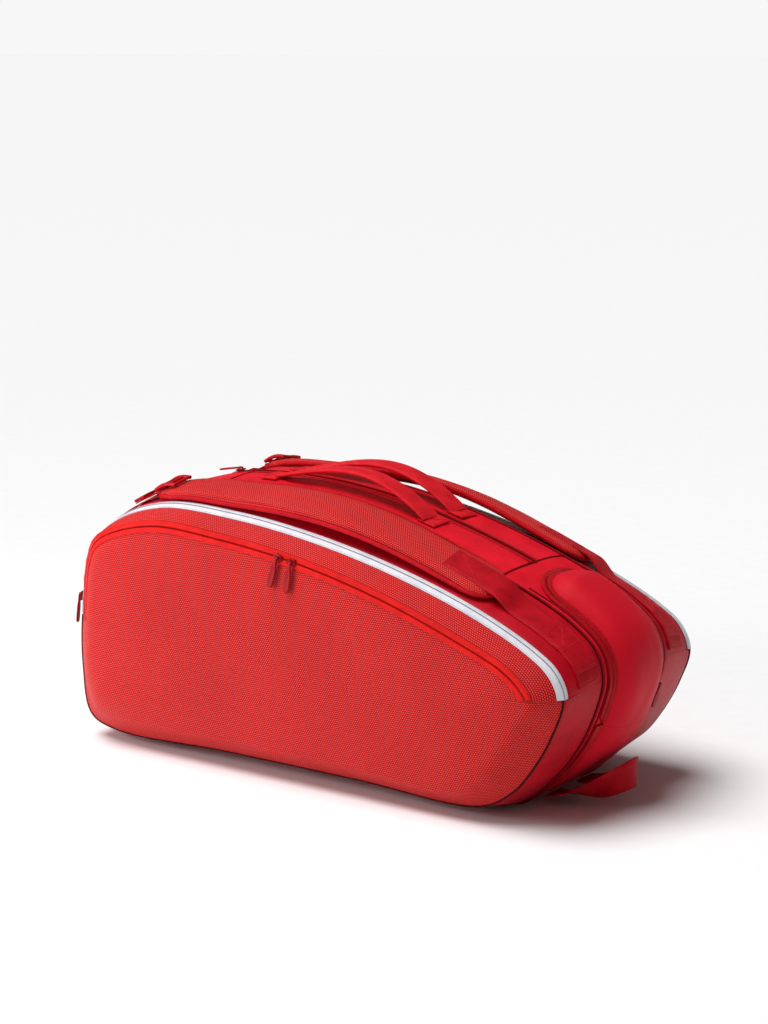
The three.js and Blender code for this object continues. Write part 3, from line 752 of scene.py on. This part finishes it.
def slider(name, origin, along, off, body, k):
    """A zipper slider: waisted body with side flanges and a bridge for its pull."""
    outline = [(-6.2, 2.4), (-5, 3.2), (0, 3.6), (3, 4.6), (5.4, 4.2), (6.4, 2.2)]
    outline += [(x, -y) for x, y in reversed(outline)]
    rim = np.array(outline, float)
    layers = [(0.86, 0.0), (1.0, 0.5), (1.0, 1.6), (0.84, 2.3)]
    pts = [np.column_stack([rim * f, np.full(len(rim), z)]) for f, z in layers]
    n = len(rim)
    faces = [
        (i * n + j, i * n + (j + 1) % n, (i + 1) * n + (j + 1) % n, (i + 1) * n + j)
        for i in range(len(layers) - 1)
        for j in range(n)
    ]
    faces += [tuple(reversed(range(n))), tuple((len(layers) - 1) * n + j for j in range(n))]
    body_piece = make(name + "_body", local(np.concatenate(pts), origin, along, off), faces, "metal", body, k)
    angle = np.linspace(0, math.pi, 11)
    arch = np.column_stack([-3.4 * np.cos(angle), np.zeros(11), 2.0 + 2.6 * np.sin(angle)])
    wide = (np.cross(off, along), 1.7)
    tube(name + "_bridge", local(arch, origin, along, off), 0.75, "metal", body, k, 8, flat=wide)
    return body_piece


def pull(name, origin, down, off, length, body, k, node):
    """A soft moulded pull: a necked paddle with a raised rim and a wire eye."""
    rows = [(-1.5, 1.6), (1, 2.0), (4, 2.3), (8, 2.6), (11, 4.2), (14, 4.7)]
    rows += [(length - 7, 5.0), (length - 2.5, 4.6), (length - 0.8, 3.2), (length, 1.2)]
    ys = np.array([-1.0, -0.86, -0.6, 0.0, 0.6, 0.86, 1.0])
    high = np.array([0.0, 1.1, 1.35, 0.75, 1.35, 1.1, 0.0])
    grid = []
    for x, half in rows:
        rim = 1.0 if x < 10 or x > length - 3 else 0.0
        top = high * (1 - rim) + 1.25 * rim * np.array([0, 0.9, 1, 1, 1, 0.9, 0])
        grid.append(np.column_stack([np.full(7, x), ys * half, 1.3 + top]))
    top = np.array(grid)
    low = top.copy()
    low[..., 2] = 1.3 - (low[..., 2] - 1.3) * 0.9
    flat = lambda g: local(g.reshape(-1, 3), origin, down, off).reshape(g.shape)
    piece = shell(name, flat(top), flat(low), "rubber", body, k)
    bevel = piece.modifiers.new("round", "SUBSURF")
    bevel.levels = bevel.render_levels = 1
    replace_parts(piece, node)
    angle = np.linspace(0, 2 * math.pi, 14, endpoint=False)
    eye = np.column_stack([-1.6 + 2.6 * np.cos(angle), 2.1 * np.sin(angle), np.full(14, 1.3)])
    tube(name + "_eye", local(eye, origin, down, off), 0.55, "metal", body, k, 6, ring=True, flat=(off, 1.0))


def side_hardware(name, k):
    for tag, x, way in (("a", -29.0, -1), ("b", -9.0, 1)):
        z = on_arc(x)[1]
        slope = -(x - ARC_X) / ARC_R
        y = float(face_y(np.array([x, 0, z - TAPE])))
        body = f"{name}_pocket_slider_{tag}"
        origin, along = (x, y + 1.1, z - TAPE - 0.5), (way, 0, way * slope)
        piece = slider(body + "_shape", origin, along, (0, 1, 0), body, k)
        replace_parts(piece, body)
        lean = (face_y(np.array([x, 0, z - 44])) - y + 0.4) / 40
        down = (-0.2 if tag == "a" else -0.08, lean, -1)
        node = f"{name}_pocket_pull_{tag}"
        pull(node + "_shape", (x + way * 0.5, y + 4.4, z - TAPE - 2), down, (0, 1, lean), 36, node, k, node)
    s = 3.32
    along, off = directions(s, ZIPPER_Y)
    body = name + "_main_slider"
    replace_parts(slider(body + "_shape", skin(s, 145.9, 2.0), along, off, body, k), body)
    node = name + "_main_pull"
    pull(node + "_shape", skin(s, 146.5, 4.4), -along, off, 36, node, k, node)


# ---- Straps ----
def strap_middle(s):
    return 109 + (101 - 109) * (s - STRAP_FROM) / (STRAP_TO - STRAP_FROM)


def strap_lift(s):
    return 1.5 + 9 * np.sin(math.pi * np.clip((s - 6.6) / 3.4, 0, 1)) ** 2


def strap_half(s):
    tip = np.clip((s - 9.72) / 0.32, 0, 0.97)
    start = np.clip((6.12 - s) / 0.2, 0, 0.9)
    return STRAP_HALF * np.sqrt(1 - tip**2) * (1 - 0.28 * start**2)


def ribbon(name, path, side_way, up, width, thick, look, body, k):
    """Flat webbing along a path, with side_way and up for each point."""
    path, side_way, up = np.asarray(path, float), unit(side_way), unit(up)
    w = np.array([-0.5, -0.47, -0.3, 0.0, 0.3, 0.47, 0.5])
    round_ = np.array([0.35, 0.9, 1, 1, 1, 0.9, 0.35])
    width = np.broadcast_to(width, len(path))
    across = path[:, None] + side_way[:, None] * (w[None] * width[:, None])[..., None]
    lift = up[:, None] * (round_ * thick / 2)[None, :, None]
    return shell(name, across + lift, across - lift, look, body, k)


def skin_ribbon(name, s, y, lift, width, thick, look, body, k, up=None):
    """Flat webbing lying along the skin."""
    y = np.broadcast_to(np.asarray(y, float), s.shape)
    across = skin(s, y + 5) - skin(s, y - 5)
    up = normal(s, y) if up is None else up
    return ribbon(name, skin(s, y, lift), across, up, width, thick, look, body, k)


def strap(name, k):
    """A backpack strap: padded top, bound edges, webbing at both ends, and the adjuster."""
    body = name + "_strap_pad"
    s = np.concatenate([np.linspace(STRAP_FROM, 9.6, 110), np.linspace(9.6, 10.02, 26)[1:]])
    w = np.array([-1, -0.97, -0.9, -0.8, -0.65, -0.45, -0.2, 0.0, 0.2, 0.45, 0.65, 0.8, 0.9, 0.97, 1])
    ss, ww = np.meshgrid(s, w, indexing="ij")
    y = strap_middle(ss) + ww * strap_half(ss)
    loft = strap_lift(ss)
    puff = 5.2 * (1 - np.abs(ww) ** 5)
    quilt = 0.35 * waves(np.stack([ss * 110, y, ww * 0], -1), 38, 3)
    top = skin(ss, y, loft + 5.0 + puff + quilt * (1 - ww**4))
    low = skin(ss, y, loft + 4.2 - 3.8 * (1 - np.abs(ww) ** 4))
    pad = shell(name + "_strap_pad_cloth", top, low, "basket", None, k)
    inflate(pad, 2.5, 0.0022)
    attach(pad, body)
    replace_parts(pad, body)
    edge_s = np.concatenate([s, s[::-1]])
    edge_w = np.concatenate([np.full(len(s), 1.0), np.full(len(s), -1.0)])
    edge_y = strap_middle(edge_s) + edge_w * (strap_half(edge_s) + 0.4)
    rim = skin(edge_s, edge_y, strap_lift(edge_s) + 4.8)
    tube(name + "_strap_binding", resample(rim, 5), 2.3, "binding", body, k, 10, flat=((0, 0, 1), 1.25))
    inset_y = strap_middle(edge_s) + edge_w * np.maximum(strap_half(edge_s) - 5.5, 1)
    line = skin(edge_s, edge_y * 0 + inset_y, strap_lift(edge_s) + 9.0)
    keep = slice(6, -6)
    stitches(name + "_strap_stitching", [(line[keep], (0, 0.2, 1))], "thread", body, k, 3.2, 2.2, 0.6, 0.4)
    strap_ends(name, k, body)


def box_cross(s0, s1, middle, half, lift):
    """Stitch lines of a box with a cross, laid on the skin between two stations."""
    a, b, c, d = np.array([[s0, -half], [s1, -half], [s1, half], [s0, half]])
    lines = []
    for p, q in ((a, b), (b, c), (c, d), (d, a), (a, c), (b, d)):
        s, e = np.linspace(p, q, 14).T
        y = middle(s) + e
        lines.append((skin(s, y, lift(s)), normal(s, y)))
    return lines


def strap_ends(name, k, body):
    # Webbing sewn on the pad's tip, over its end and down to the nose.
    s = np.linspace(9.4, 12.86, 90)
    mid = lambda at_s: np.interp(at_s, [9.4, 12.86], [101.5, 100.5])
    ripple = lambda at_s: 0.35 * np.sin(at_s * 9) * step(at_s, 10.5, 10.9)
    lift = lambda at_s: 1.9 + (strap_lift(at_s) + 9.6) * (1 - step(at_s, 10.0, 10.38)) + ripple(at_s)
    path = skin(s, mid(s), lift(s))
    ahead = np.gradient(path, axis=0)
    across = skin(s, mid(s) + 5) - skin(s, mid(s) - 5)
    up = np.cross(across, ahead)
    up *= np.sign(np.sum(up * normal(s, mid(s)), axis=1, keepdims=True))
    web = ribbon(name + "_webbing_nose_cloth", path, across, up, 39, 2.2, "webbing", None, k)
    start, end = to_metres(skin(9.95, 101.0, 6.0), k), to_metres(skin(10.35, 101.0, 2.0), k)
    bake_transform(web)
    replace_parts(web, name + "_strap_webbing_nose")
    above = lambda at_s: lift(at_s) + 1.2
    for tag, s0, s1, rides in (("tip", 9.46, 9.8, body), ("nose", 10.9, 11.5, "shell")):
        lines = box_cross(s0, s1, mid, 15, above)
        stitches(f"{name}_strap_cross_{tag}", lines, "thread", rides, k, 2.6, 1.9, 0.8, 0.5)
    rows = []
    for d in (12.3, 12.36, 12.74, 12.8):
        ys = np.linspace(82.5, 118.5, 12)
        rows.append((skin(np.full(12, d), ys, 3.3), normal(d, 100.0)))
    stitches(name + "_webbing_nose_bartack", rows, "thread", "shell", k, 2.4, 2.0, 0.8, 0.5)
    s = np.linspace(10.46, 12.84, 60)
    edge = [(skin(s, mid(s) + e, above(s)), normal(s, mid(s))) for e in (-16.5, 16.5)]
    stitches(name + "_webbing_nose_stitching", edge, "thread", "shell", k, 3.0, 2.1, 0.6, 0.35)

    # Patch of folded webbing at the pad's head end.
    s = np.linspace(6.02, 6.42, 14)
    lift = strap_lift(s) + 11.0
    patch = name + "_strap_patch_root"
    skin_ribbon(patch, s, strap_middle(s), lift, 25, 2.2, "webbing", body, k, normal(s, 105.0))
    lines = box_cross(6.07, 6.37, strap_middle, 9.5, lambda at_s: strap_lift(at_s) + 12.3)
    stitches(name + "_strap_cross_root", lines, "thread", body, k, 2.6, 1.9, 0.7, 0.45)

    # Webbing from the adjuster down to the head end, and its folded tail.
    s = np.linspace(3.9, 5.82, 50)
    lift = 1.8 + 4.5 * step(s, 5.2, 5.8) + 1.2 * np.sin(math.pi * np.clip((s - 4.1) / 1.2, 0, 1))
    stack = np.linspace(5.68, 6.12, 12)
    skin_ribbon(name + "_adjuster_webbing_stack", stack, 109.0, 8.6, 26, 8.0, "webbing", body, k)
    web = skin_ribbon(name + "_webbing_head_cloth", s, 109.5, lift, 25, 1.8, "webbing", None, k)
    start = to_metres(skin(4.9, 109.5), k)
    end = to_metres(skin(5.6, 109.5), k)
    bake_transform(web)
    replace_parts(web, name + "_strap_webbing_head")
    adjuster(name, k)


def adjuster(name, k):
    """Ladder-lock: two curved rails, three bars, and the webbing's tail doubled back over it."""
    body = name + "_adjuster"
    origin = skin(5.9, 109.0, 14.2)
    along = skin(6.05, 109.0) - skin(5.7, 109.0)
    off = normal(5.9, 109.0)
    put = lambda pts: local(np.asarray(pts, float), origin, along, off)
    x = np.linspace(-17, 17, 17)
    rise = 3.6 * np.sin((x + 17) / 34 * math.pi) + 2.5 * (x + 17) / 34
    parts = []
    for e in (-15.2, 15.2):
        rail = put(np.column_stack([x, np.full(17, e), rise]))
        rail_name = f"{name}_adjuster_rail_{'ab'[e > 0]}"
        parts.append(tube(rail_name, rail, 3.3, "plastic", body, k, 10, flat=(off, 0.75)))
    for i, (at_x, r) in enumerate(((-15, 2.8), (-2, 2.4), (6.5, 2.4), (15, 2.8))):
        h = float(np.interp(at_x, x, rise))
        bar = put([[at_x, e, h] for e in np.linspace(-15.2, 15.2, 7)])
        parts.append(tube(f"{name}_adjuster_bar_{i}", bar, r, "plastic", body, k, 10, flat=(off, 0.8)))
    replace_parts(parts[0], body)
    s = np.linspace(5.88, 5.24, 30)
    lift = np.interp(s, [5.24, 5.5, 5.7, 5.88], [5.6, 6.6, 9.8, 16.0])
    skin_ribbon(name + "_adjuster_tail", s, 109.0, lift, 24, 1.7, "webbing", body, k)
    fold = name + "_adjuster_tail_fold"
    skin_ribbon(fold, s[-10:], 109.0, lift[-10:] + 2.9, 24.6, 3.8, "webbing", body, k)


def inflate(obj, pressure, cap, frames=14):
    """Blows a closed piece up with a short cloth simulation, moving no point by more than cap metres."""
    scene = bpy.context.scene
    rest = np.zeros(len(obj.data.vertices) * 3)
    obj.data.vertices.foreach_get("co", rest)
    rest = rest.reshape(-1, 3)
    cloth = obj.modifiers.new("cloth", "CLOTH")
    cloth.settings.quality = 4
    cloth.settings.mass = 0.3
    cloth.settings.tension_stiffness = 12.0
    cloth.settings.compression_stiffness = 12.0
    cloth.settings.bending_stiffness = 1.5
    cloth.settings.use_pressure = True
    cloth.settings.uniform_pressure_force = pressure
    cloth.settings.effector_weights.gravity = 0
    cloth.point_cache.frame_end = frames
    scene.frame_start, scene.frame_end = 1, frames
    for f in range(1, frames + 1):
        scene.frame_set(f)
    done = obj.evaluated_get(bpy.context.evaluated_depsgraph_get())
    moved = np.zeros(rest.size)
    done.data.vertices.foreach_get("co", moved)
    d = moved.reshape(-1, 3) - rest
    size = np.linalg.norm(d, axis=1, keepdims=True)
    d *= np.minimum(1, cap / np.maximum(size, 1e-9))
    obj.modifiers.remove(cloth)
    scene.frame_set(1)
    obj.data.vertices.foreach_set("co", (rest + d).ravel())
    obj.data.update()


# ---- Top of the bag ----
def top_flap(name, k):
    body = name + "_top_flap"
    s = np.linspace(6.32, 9.845, 100)
    y = spread(3.2, 69.2, 24)
    piece = band(name + "_top_flap_cloth", s, y, "top", None, k, 0, 1.2, 1.6, 3.0, 1.3, 46)
    # Its outer edge is sewn down.
    sewn, free = to_metres([10, 69.0, 330], k), to_metres([10, 58.0, 330], k)
    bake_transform(piece)
    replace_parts(piece, body)
    run = np.linspace(6.4, 9.75, 160)
    lines = [skin_line(run, e, 1.2) for e in (9.5, 56.5)]
    stitches(body + "_stitching", lines, "thread", body, k, 3.2, 2.1, 0.5, 0.3)


def handle_path(u):
    x = HANDLE_FROM + (HANDLE_TO - HANDLE_FROM) * u
    s = np.array([station_at(v) for v in x])
    p = skin(s, np.full_like(s, HANDLE_Y), 4.0)
    p[:, 2] += HANDLE_RISE * np.sin(math.pi * np.clip(u, 0, 1) ** 1.35) ** 0.9
    return p


def carry_handle(name, k):
    """Padded carry handle: flat sewn tabs that turn into a rolled grip."""
    body = name + "_carry_handle"
    u = spread(0.0, 1.0, 60, 0.5)
    p = handle_path(u)
    ahead = unit(np.gradient(p, axis=0))
    up = np.column_stack([-ahead[:, 2], np.zeros(len(u)), ahead[:, 0]])
    grip = np.sin(math.pi * u) ** 0.5
    half = 17.5 * (0.55 + 0.45 * step(u, 0.0, 0.16)) - 1.0 * grip
    thick = 1.5 + 1.9 * grip
    angle = np.linspace(0, 2 * math.pi, 20, endpoint=False)
    c, s_ = np.cos(angle), np.sin(angle)
    a = np.sign(c) * np.abs(c) ** 0.6
    b = np.sign(s_) * np.abs(s_) ** 0.8
    sideways = np.array([0, 1.0, 0]) * (half[:, None] * a)[..., None]
    grid = p[:, None] + sideways + up[:, None] * (thick[:, None] * b)[..., None]
    n, m = grid.shape[:2]
    faces = [
        (i * m + j, i * m + (j + 1) % m, (i + 1) * m + (j + 1) % m, (i + 1) * m + j)
        for i in range(n - 1)
        for j in range(m)
    ]
    faces += [tuple(reversed(range(m))), tuple((n - 1) * m + j for j in range(m))]
    uv = np.stack(np.meshgrid(run_length(p) / 100, np.linspace(0, 0.8, m), indexing="ij"), -1)
    piece = make(body + "_cloth", grid, faces, "handle", body, k, uv)
    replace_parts(piece, body)
    lines = []
    for e in (-0.72, 0.72):
        q = p + np.array([0, 1.0, 0]) * (half * e)[:, None] + up * (thick * 0.9)[:, None]
        lines.append((q[3:-3], up[30]))
    stitches(body + "_stitching", lines, "thread", body, k, 3.0, 2.1, 0.6, 0.4)
    for tag, x in (("head", HANDLE_FROM - 4), ("nose", HANDLE_TO + 4)):
        s0 = station_at(x - 12)
        s1 = station_at(x + 12)
        flap = name + "_top_flap"
        s = np.linspace(s0, s1, 10)
        skin_ribbon(f"{body}_tab_{tag}", s, HANDLE_Y, 3.0, 35, 2.6, "handle", flap, k)
        pad = (s1 - s0) * 0.1
        middle = lambda at_s: np.full_like(at_s, HANDLE_Y)
        lines = box_cross(s0 + pad, s1 - pad, middle, 14, lambda at_s: 4.7)
        stitches(f"{body}_cross_{tag}", lines, "thread", flap, k, 2.6, 1.9, 0.6, 0.4)


def middle_cloth():
    """Gear compartment: head end, top zipper and base."""
    s, y = np.linspace(0.02, 6.3, 130), spread(-69.5, 69.5, 36)
    head = band("head_end_cloth", s, y, "top", "shell", 1, 0, 0, 2.4, 3, 1.0, 60)
    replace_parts(head, "head_end_panel")
    s = np.linspace(17.0, 20.0, 60)
    base = band("base_cloth", s, spread(-69.5, 69.5, 30), "base", "shell", 1, 0.0, 0, 0.0, 3.0)
    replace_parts(base, "base_panel")
    for name, k in (("near", -1), ("far", 1)):
        path = np.linspace(6.0, 9.86, 110)
        body = name + "_top_flap"
        band(name + "_top_tape", path, spread(2.8, 8.5, 4), "deep_tape", body, k, 1.6, 0, 0.3, 1.0)
    path, up = skin_line(np.linspace(6.0, 9.86, 150), 0.0, 2.0)
    coil("top_coil", path, up, "coil_red", "near_top_flap", 1, 5.4, 1.9)
    for tag, seam in (("head", 6.31), ("nose", 9.852)):
        y = np.linspace(-69, 69, 60)
        line = skin(np.full_like(y, seam), y, 0.4)
        tube(f"{tag}_seam_piping", line, 1.4, "piping", "shell", 1, flat=((1, 0, 0), 1.0))
    s = 6.08
    along, off = directions(s, 0.0)
    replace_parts(slider("top_slider_shape", skin(s, 0.0, 2.6), along, off, "top_slider", 1), "top_slider")
    pull("top_pull_shape", skin(s, 0.0, 5.0), -along, off, 34, "top_pull", 1, "top_pull")


# ---- End pocket ----
TRACK = np.linspace(8, COUNT, 481)
LENGTHS = run_length(at(0, TRACK))


def station_along(length):
    return np.interp(length, LENGTHS, TRACK)


def length_of(s):
    return float(np.interp(s, TRACK, LENGTHS))


POCKET_TOP = length_of(station_at(254))
POCKET_HINGE = length_of(14.35)
POCKET_FOOT = length_of(16.4)


def pocket_half(down, off=0.0):
    r = POCKET_CORNER + off
    d = np.asarray(down, float) + off
    cut = np.where(d < r, r - np.sqrt(np.maximum(0, r * r - (r - d) ** 2)), 0)
    return POCKET_HALF + off - cut


def pocket_crown(down, w):
    total = POCKET_FOOT - POCKET_TOP
    start = np.minimum(1, down / 30) ** 0.5
    end = np.minimum(1, np.maximum(0, total - down) / 90) ** 0.8
    return 3 + POCKET_CROWN * (1 - 0.35 * (down / total)) * start * end * (1 - np.abs(w) ** 4.0)


def pocket_cloth(name, start, stop, body, node, rows):
    down, w = np.meshgrid(np.linspace(start, stop, rows), spread(-1, 1, 33, 0.5), indexing="ij")
    s = station_along(POCKET_TOP + down)
    y = w * pocket_half(down)
    up = pocket_crown(down, w)
    fold = 1.1 * waves(np.stack([down, y * 1.6, 0 * y], -1), 44, 12) * (1 - w**6)
    top = skin(s, y, up + fold)
    piece = shell(name, top, skin(s, y, up + fold - 2.2), "heather", body)
    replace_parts(piece, node)
    return piece


def end_pocket():
    depth = POCKET_HINGE - POCKET_TOP
    pocket_cloth("end_pocket_flap_cloth", 1.0, depth - 0.12, "end_flap", "end_pocket_flap", 70)
    foot = POCKET_FOOT - POCKET_TOP
    pocket_cloth("end_pocket_foot_cloth", depth + 0.12, foot, "shell", "end_pocket_foot", 40)
    downs = depth * (1 - np.linspace(0, 1, 70)) ** 1.5

    def line(off, lift):
        down = np.maximum(downs - off, -off + 0.15)
        s = station_along(POCKET_TOP + down)
        half = pocket_half(down, off)
        left, right = skin(s, -half, lift), skin(s, half, lift)
        return np.concatenate([left, right[::-1]])

    for name, offs, body, node in (
        ("end_zip_flap_tape", (-1.0, 1.0, 4.0, 6.4), "end_flap", "end_zip_flap"),
        ("end_zip_frame_tape", (7.4, 9.0, 12.0, 13.4), "shell", "end_zip_frame"),
    ):
        outer = np.stack([line(o, h) for o, h in zip(offs, (3.0, 3.6, 3.6, 3.2))], 1)
        inner = np.stack([line(o, 1.8) for o in offs], 1)
        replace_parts(shell(name, outer, inner, "deep_tape", body), node)
    s = station_along(POCKET_TOP + np.linspace(depth + 0.2, POCKET_FOOT - POCKET_TOP, 30))
    for tag, k in (("near", -1), ("far", 1)):
        ys = POCKET_HALF + np.array([-1.0, 3.0, 6.4, 9.0, 13.4])
        ss, yy = np.meshgrid(s, ys, indexing="ij")
        shell(f"end_zip_foot_tape_{tag}", skin(ss, yy, 3.2), skin(ss, yy, 1.8), "deep_tape", "shell", k)
    path = line(6.9, 3.4)
    up = path - np.array([150.0, 0, 120.0])
    up /= np.linalg.norm(up, axis=1, keepdims=True)
    coil("end_zip_coil", path, up, "coil_red", "end_flap", 1, 1.7, 2.0)
    stitches("end_zip_stitching", [(line(0.2, 4.0), up)], "thread", "end_flap", 1, 3.2, 2.1, 0.6, 0.4)
    nose_cloth()
    s = station_along(POCKET_TOP + depth - 30)
    y = POCKET_HALF + 7.0
    along, off = directions(s, y)
    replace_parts(slider("end_slider_shape", skin(s, y, 4.6), along, off, "end_slider", 1), "end_slider")
    pull("end_pull_shape", skin(s, y, 7.2), along, off, 30, "end_pull", 1, "end_pull")


def nose_cloth():
    """Fabric between the seams and the end pocket, open behind the pocket's flap."""
    total = POCKET_FOOT - POCKET_TOP
    ds, de = 9.0, total - 12.0
    wide = spread(-69.5, 69.5, 40)
    first = np.linspace(9.858, station_along(POCKET_TOP + ds), 26)
    cloth = band("nose_top_cloth", first, wide, "top", "shell", 1, 0, 0, 1.6, 3, 0.7)
    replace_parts(cloth, "nose_frame")
    last = np.linspace(station_along(POCKET_TOP + de), 17.0, 30)
    band("nose_foot_cloth", last, wide, "top", "shell", 1, 0, 0, 1.6, 3, 0.5)
    down = np.linspace(ds, de, 90)
    s = station_along(POCKET_TOP + down)
    t = spread(0, 1, 10, 0.7)[None]
    for tag, k in (("near", -1), ("far", 1)):
        y = pocket_half(down, -5)[:, None] * (1 - t) + 69.5 * t
        ss = np.broadcast_to(s[:, None], y.shape)
        dip = -1.6 * np.exp(-(69.5 - y) / 2.2)
        top = skin(ss, y, dip)
        shell(f"nose_{tag}_cloth", top, skin(ss, y, dip - 3), "top", "shell", k)
        line = skin_line(np.linspace(10.2, 16.9, 200), 62.5, 0.3)[0]
        tube(f"nose_{tag}_piping", line, 1.3, "piping", "shell", k)


def grab_loop():
    """Webbing loop under the nose, flat where it is sewn on and upright at its far end."""
    u = np.linspace(0, 1, 60)
    a = math.pi * u
    path = np.column_stack([274 + 89 * np.sin(a) ** 0.8, -36 * np.cos(a), 11 + 31 * np.sin(a) ** 1.5])
    ahead = unit(np.gradient(path, axis=0))
    flat = unit(np.cross(ahead, [0, 0, 1.0]))
    lie = np.sin(a)[:, None]
    width = flat * (1 - lie) + np.array([0, 0, 1.0]) * lie
    up = np.cross(ahead, width)
    piece = ribbon("grab_loop_cloth", path, width, up, 37, 2.2, "webbing", "grab_loop", 1)
    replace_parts(piece, "grab_loop")
    way, off = unit(width), unit(up)
    lines = [(path + way * e + off * 1.2, off) for e in (-15.5, 15.5)]
    stitches("grab_loop_stitching", lines, "thread", "grab_loop", 1, 3.2, 2.2, 0.6, 0.4)


def linings():
    sides = [f"{side}_{part}" for side in ("near", "far") for part in ("divider", "lid_inner_panel")]
    for name in sides + ["end_pocket_lining"]:
        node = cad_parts[name]
        node.data.materials.clear()
        node.data.materials.append(LOOKS["lining"])


for side_name, side_sign in (("near", -1), ("far", 1)):
    side_fabric(side_name, side_sign)
    side_zippers(side_name, side_sign)
    side_hardware(side_name, side_sign)
    strap(side_name, side_sign)
    top_flap(side_name, side_sign)
    carry_handle(side_name, side_sign)
middle_cloth()
end_pocket()
grab_loop()
linings()


# ---- Floor, light and camera ----
FILL, PAPER, SUN_POWER, KEY_POWER = 0.11, 0.93, 3.2, 12
AZIMUTH, ELEVATION, TILT, DISTANCE = 35.65, 13.65, 10.895, 3.035
LOOK_AT = (SHIFT_X / 1000, 0, 0.165)


def studio():
    scene = bpy.context.scene
    bpy.ops.mesh.primitive_plane_add(size=400)
    floor = bpy.context.object
    floor.name = "floor"
    floor.data.materials.append(floor_look("floor_paper"))
    world = bpy.data.worlds.new("studio")
    scene.world = world
    world.use_nodes = True
    tree = world.node_tree
    tree.nodes["Background"].inputs[0].default_value = (1, 1, 1, 1)
    tree.nodes["Background"].inputs[1].default_value = FILL
    paper = tree.nodes.new("ShaderNodeBackground")
    seen = tree.nodes.new("ShaderNodeLightPath")
    either = tree.nodes.new("ShaderNodeMixShader")
    tree.links.new(seen.outputs["Is Camera Ray"], either.inputs[0])
    tree.links.new(tree.nodes["Background"].outputs[0], either.inputs[1])
    tree.links.new(paper.outputs[0], either.inputs[2])
    paper.inputs[0].default_value = (PAPER, PAPER, PAPER, 1)
    tree.links.new(either.outputs[0], tree.nodes["World Output"].inputs[0])

    def aim(obj, place, target):
        obj.location = place
        obj.rotation_mode = "QUATERNION"
        obj.rotation_quaternion = (Vector(target) - Vector(place)).to_track_quat("-Z", "Y")

    sun = bpy.data.objects.new("sun", bpy.data.lights.new("sun", "SUN"))
    sun.data.energy = SUN_POWER
    sun.data.angle = math.radians(40)
    aim(sun, (-0.6, -0.45, 2.2), (0, 0, 0))
    key = bpy.data.objects.new("key", bpy.data.lights.new("key", "AREA"))
    key.data.energy = KEY_POWER
    key.data.size = 0.8
    aim(key, (-1.0, -1.3, 0.6), (-0.3, -0.17, 0.2))
    for light in (sun, key):
        scene.collection.objects.link(light)
    scene.view_settings.view_transform = "Standard"

    camera = bpy.data.objects.new("camera", bpy.data.cameras.new("camera"))
    camera.data.lens = 85
    camera.data.sensor_width = 36
    camera.data.clip_end = 600
    azimuth, elevation = math.radians(AZIMUTH), math.radians(ELEVATION)
    level = math.cos(elevation)
    back = Vector((math.sin(azimuth) * level, -math.cos(azimuth) * level, math.sin(elevation)))
    camera.location = Vector(LOOK_AT) + back * DISTANCE
    camera.rotation_euler = (math.radians(90 - TILT), 0, azimuth)
    scene.collection.objects.link(camera)
    scene.camera = camera


studio()
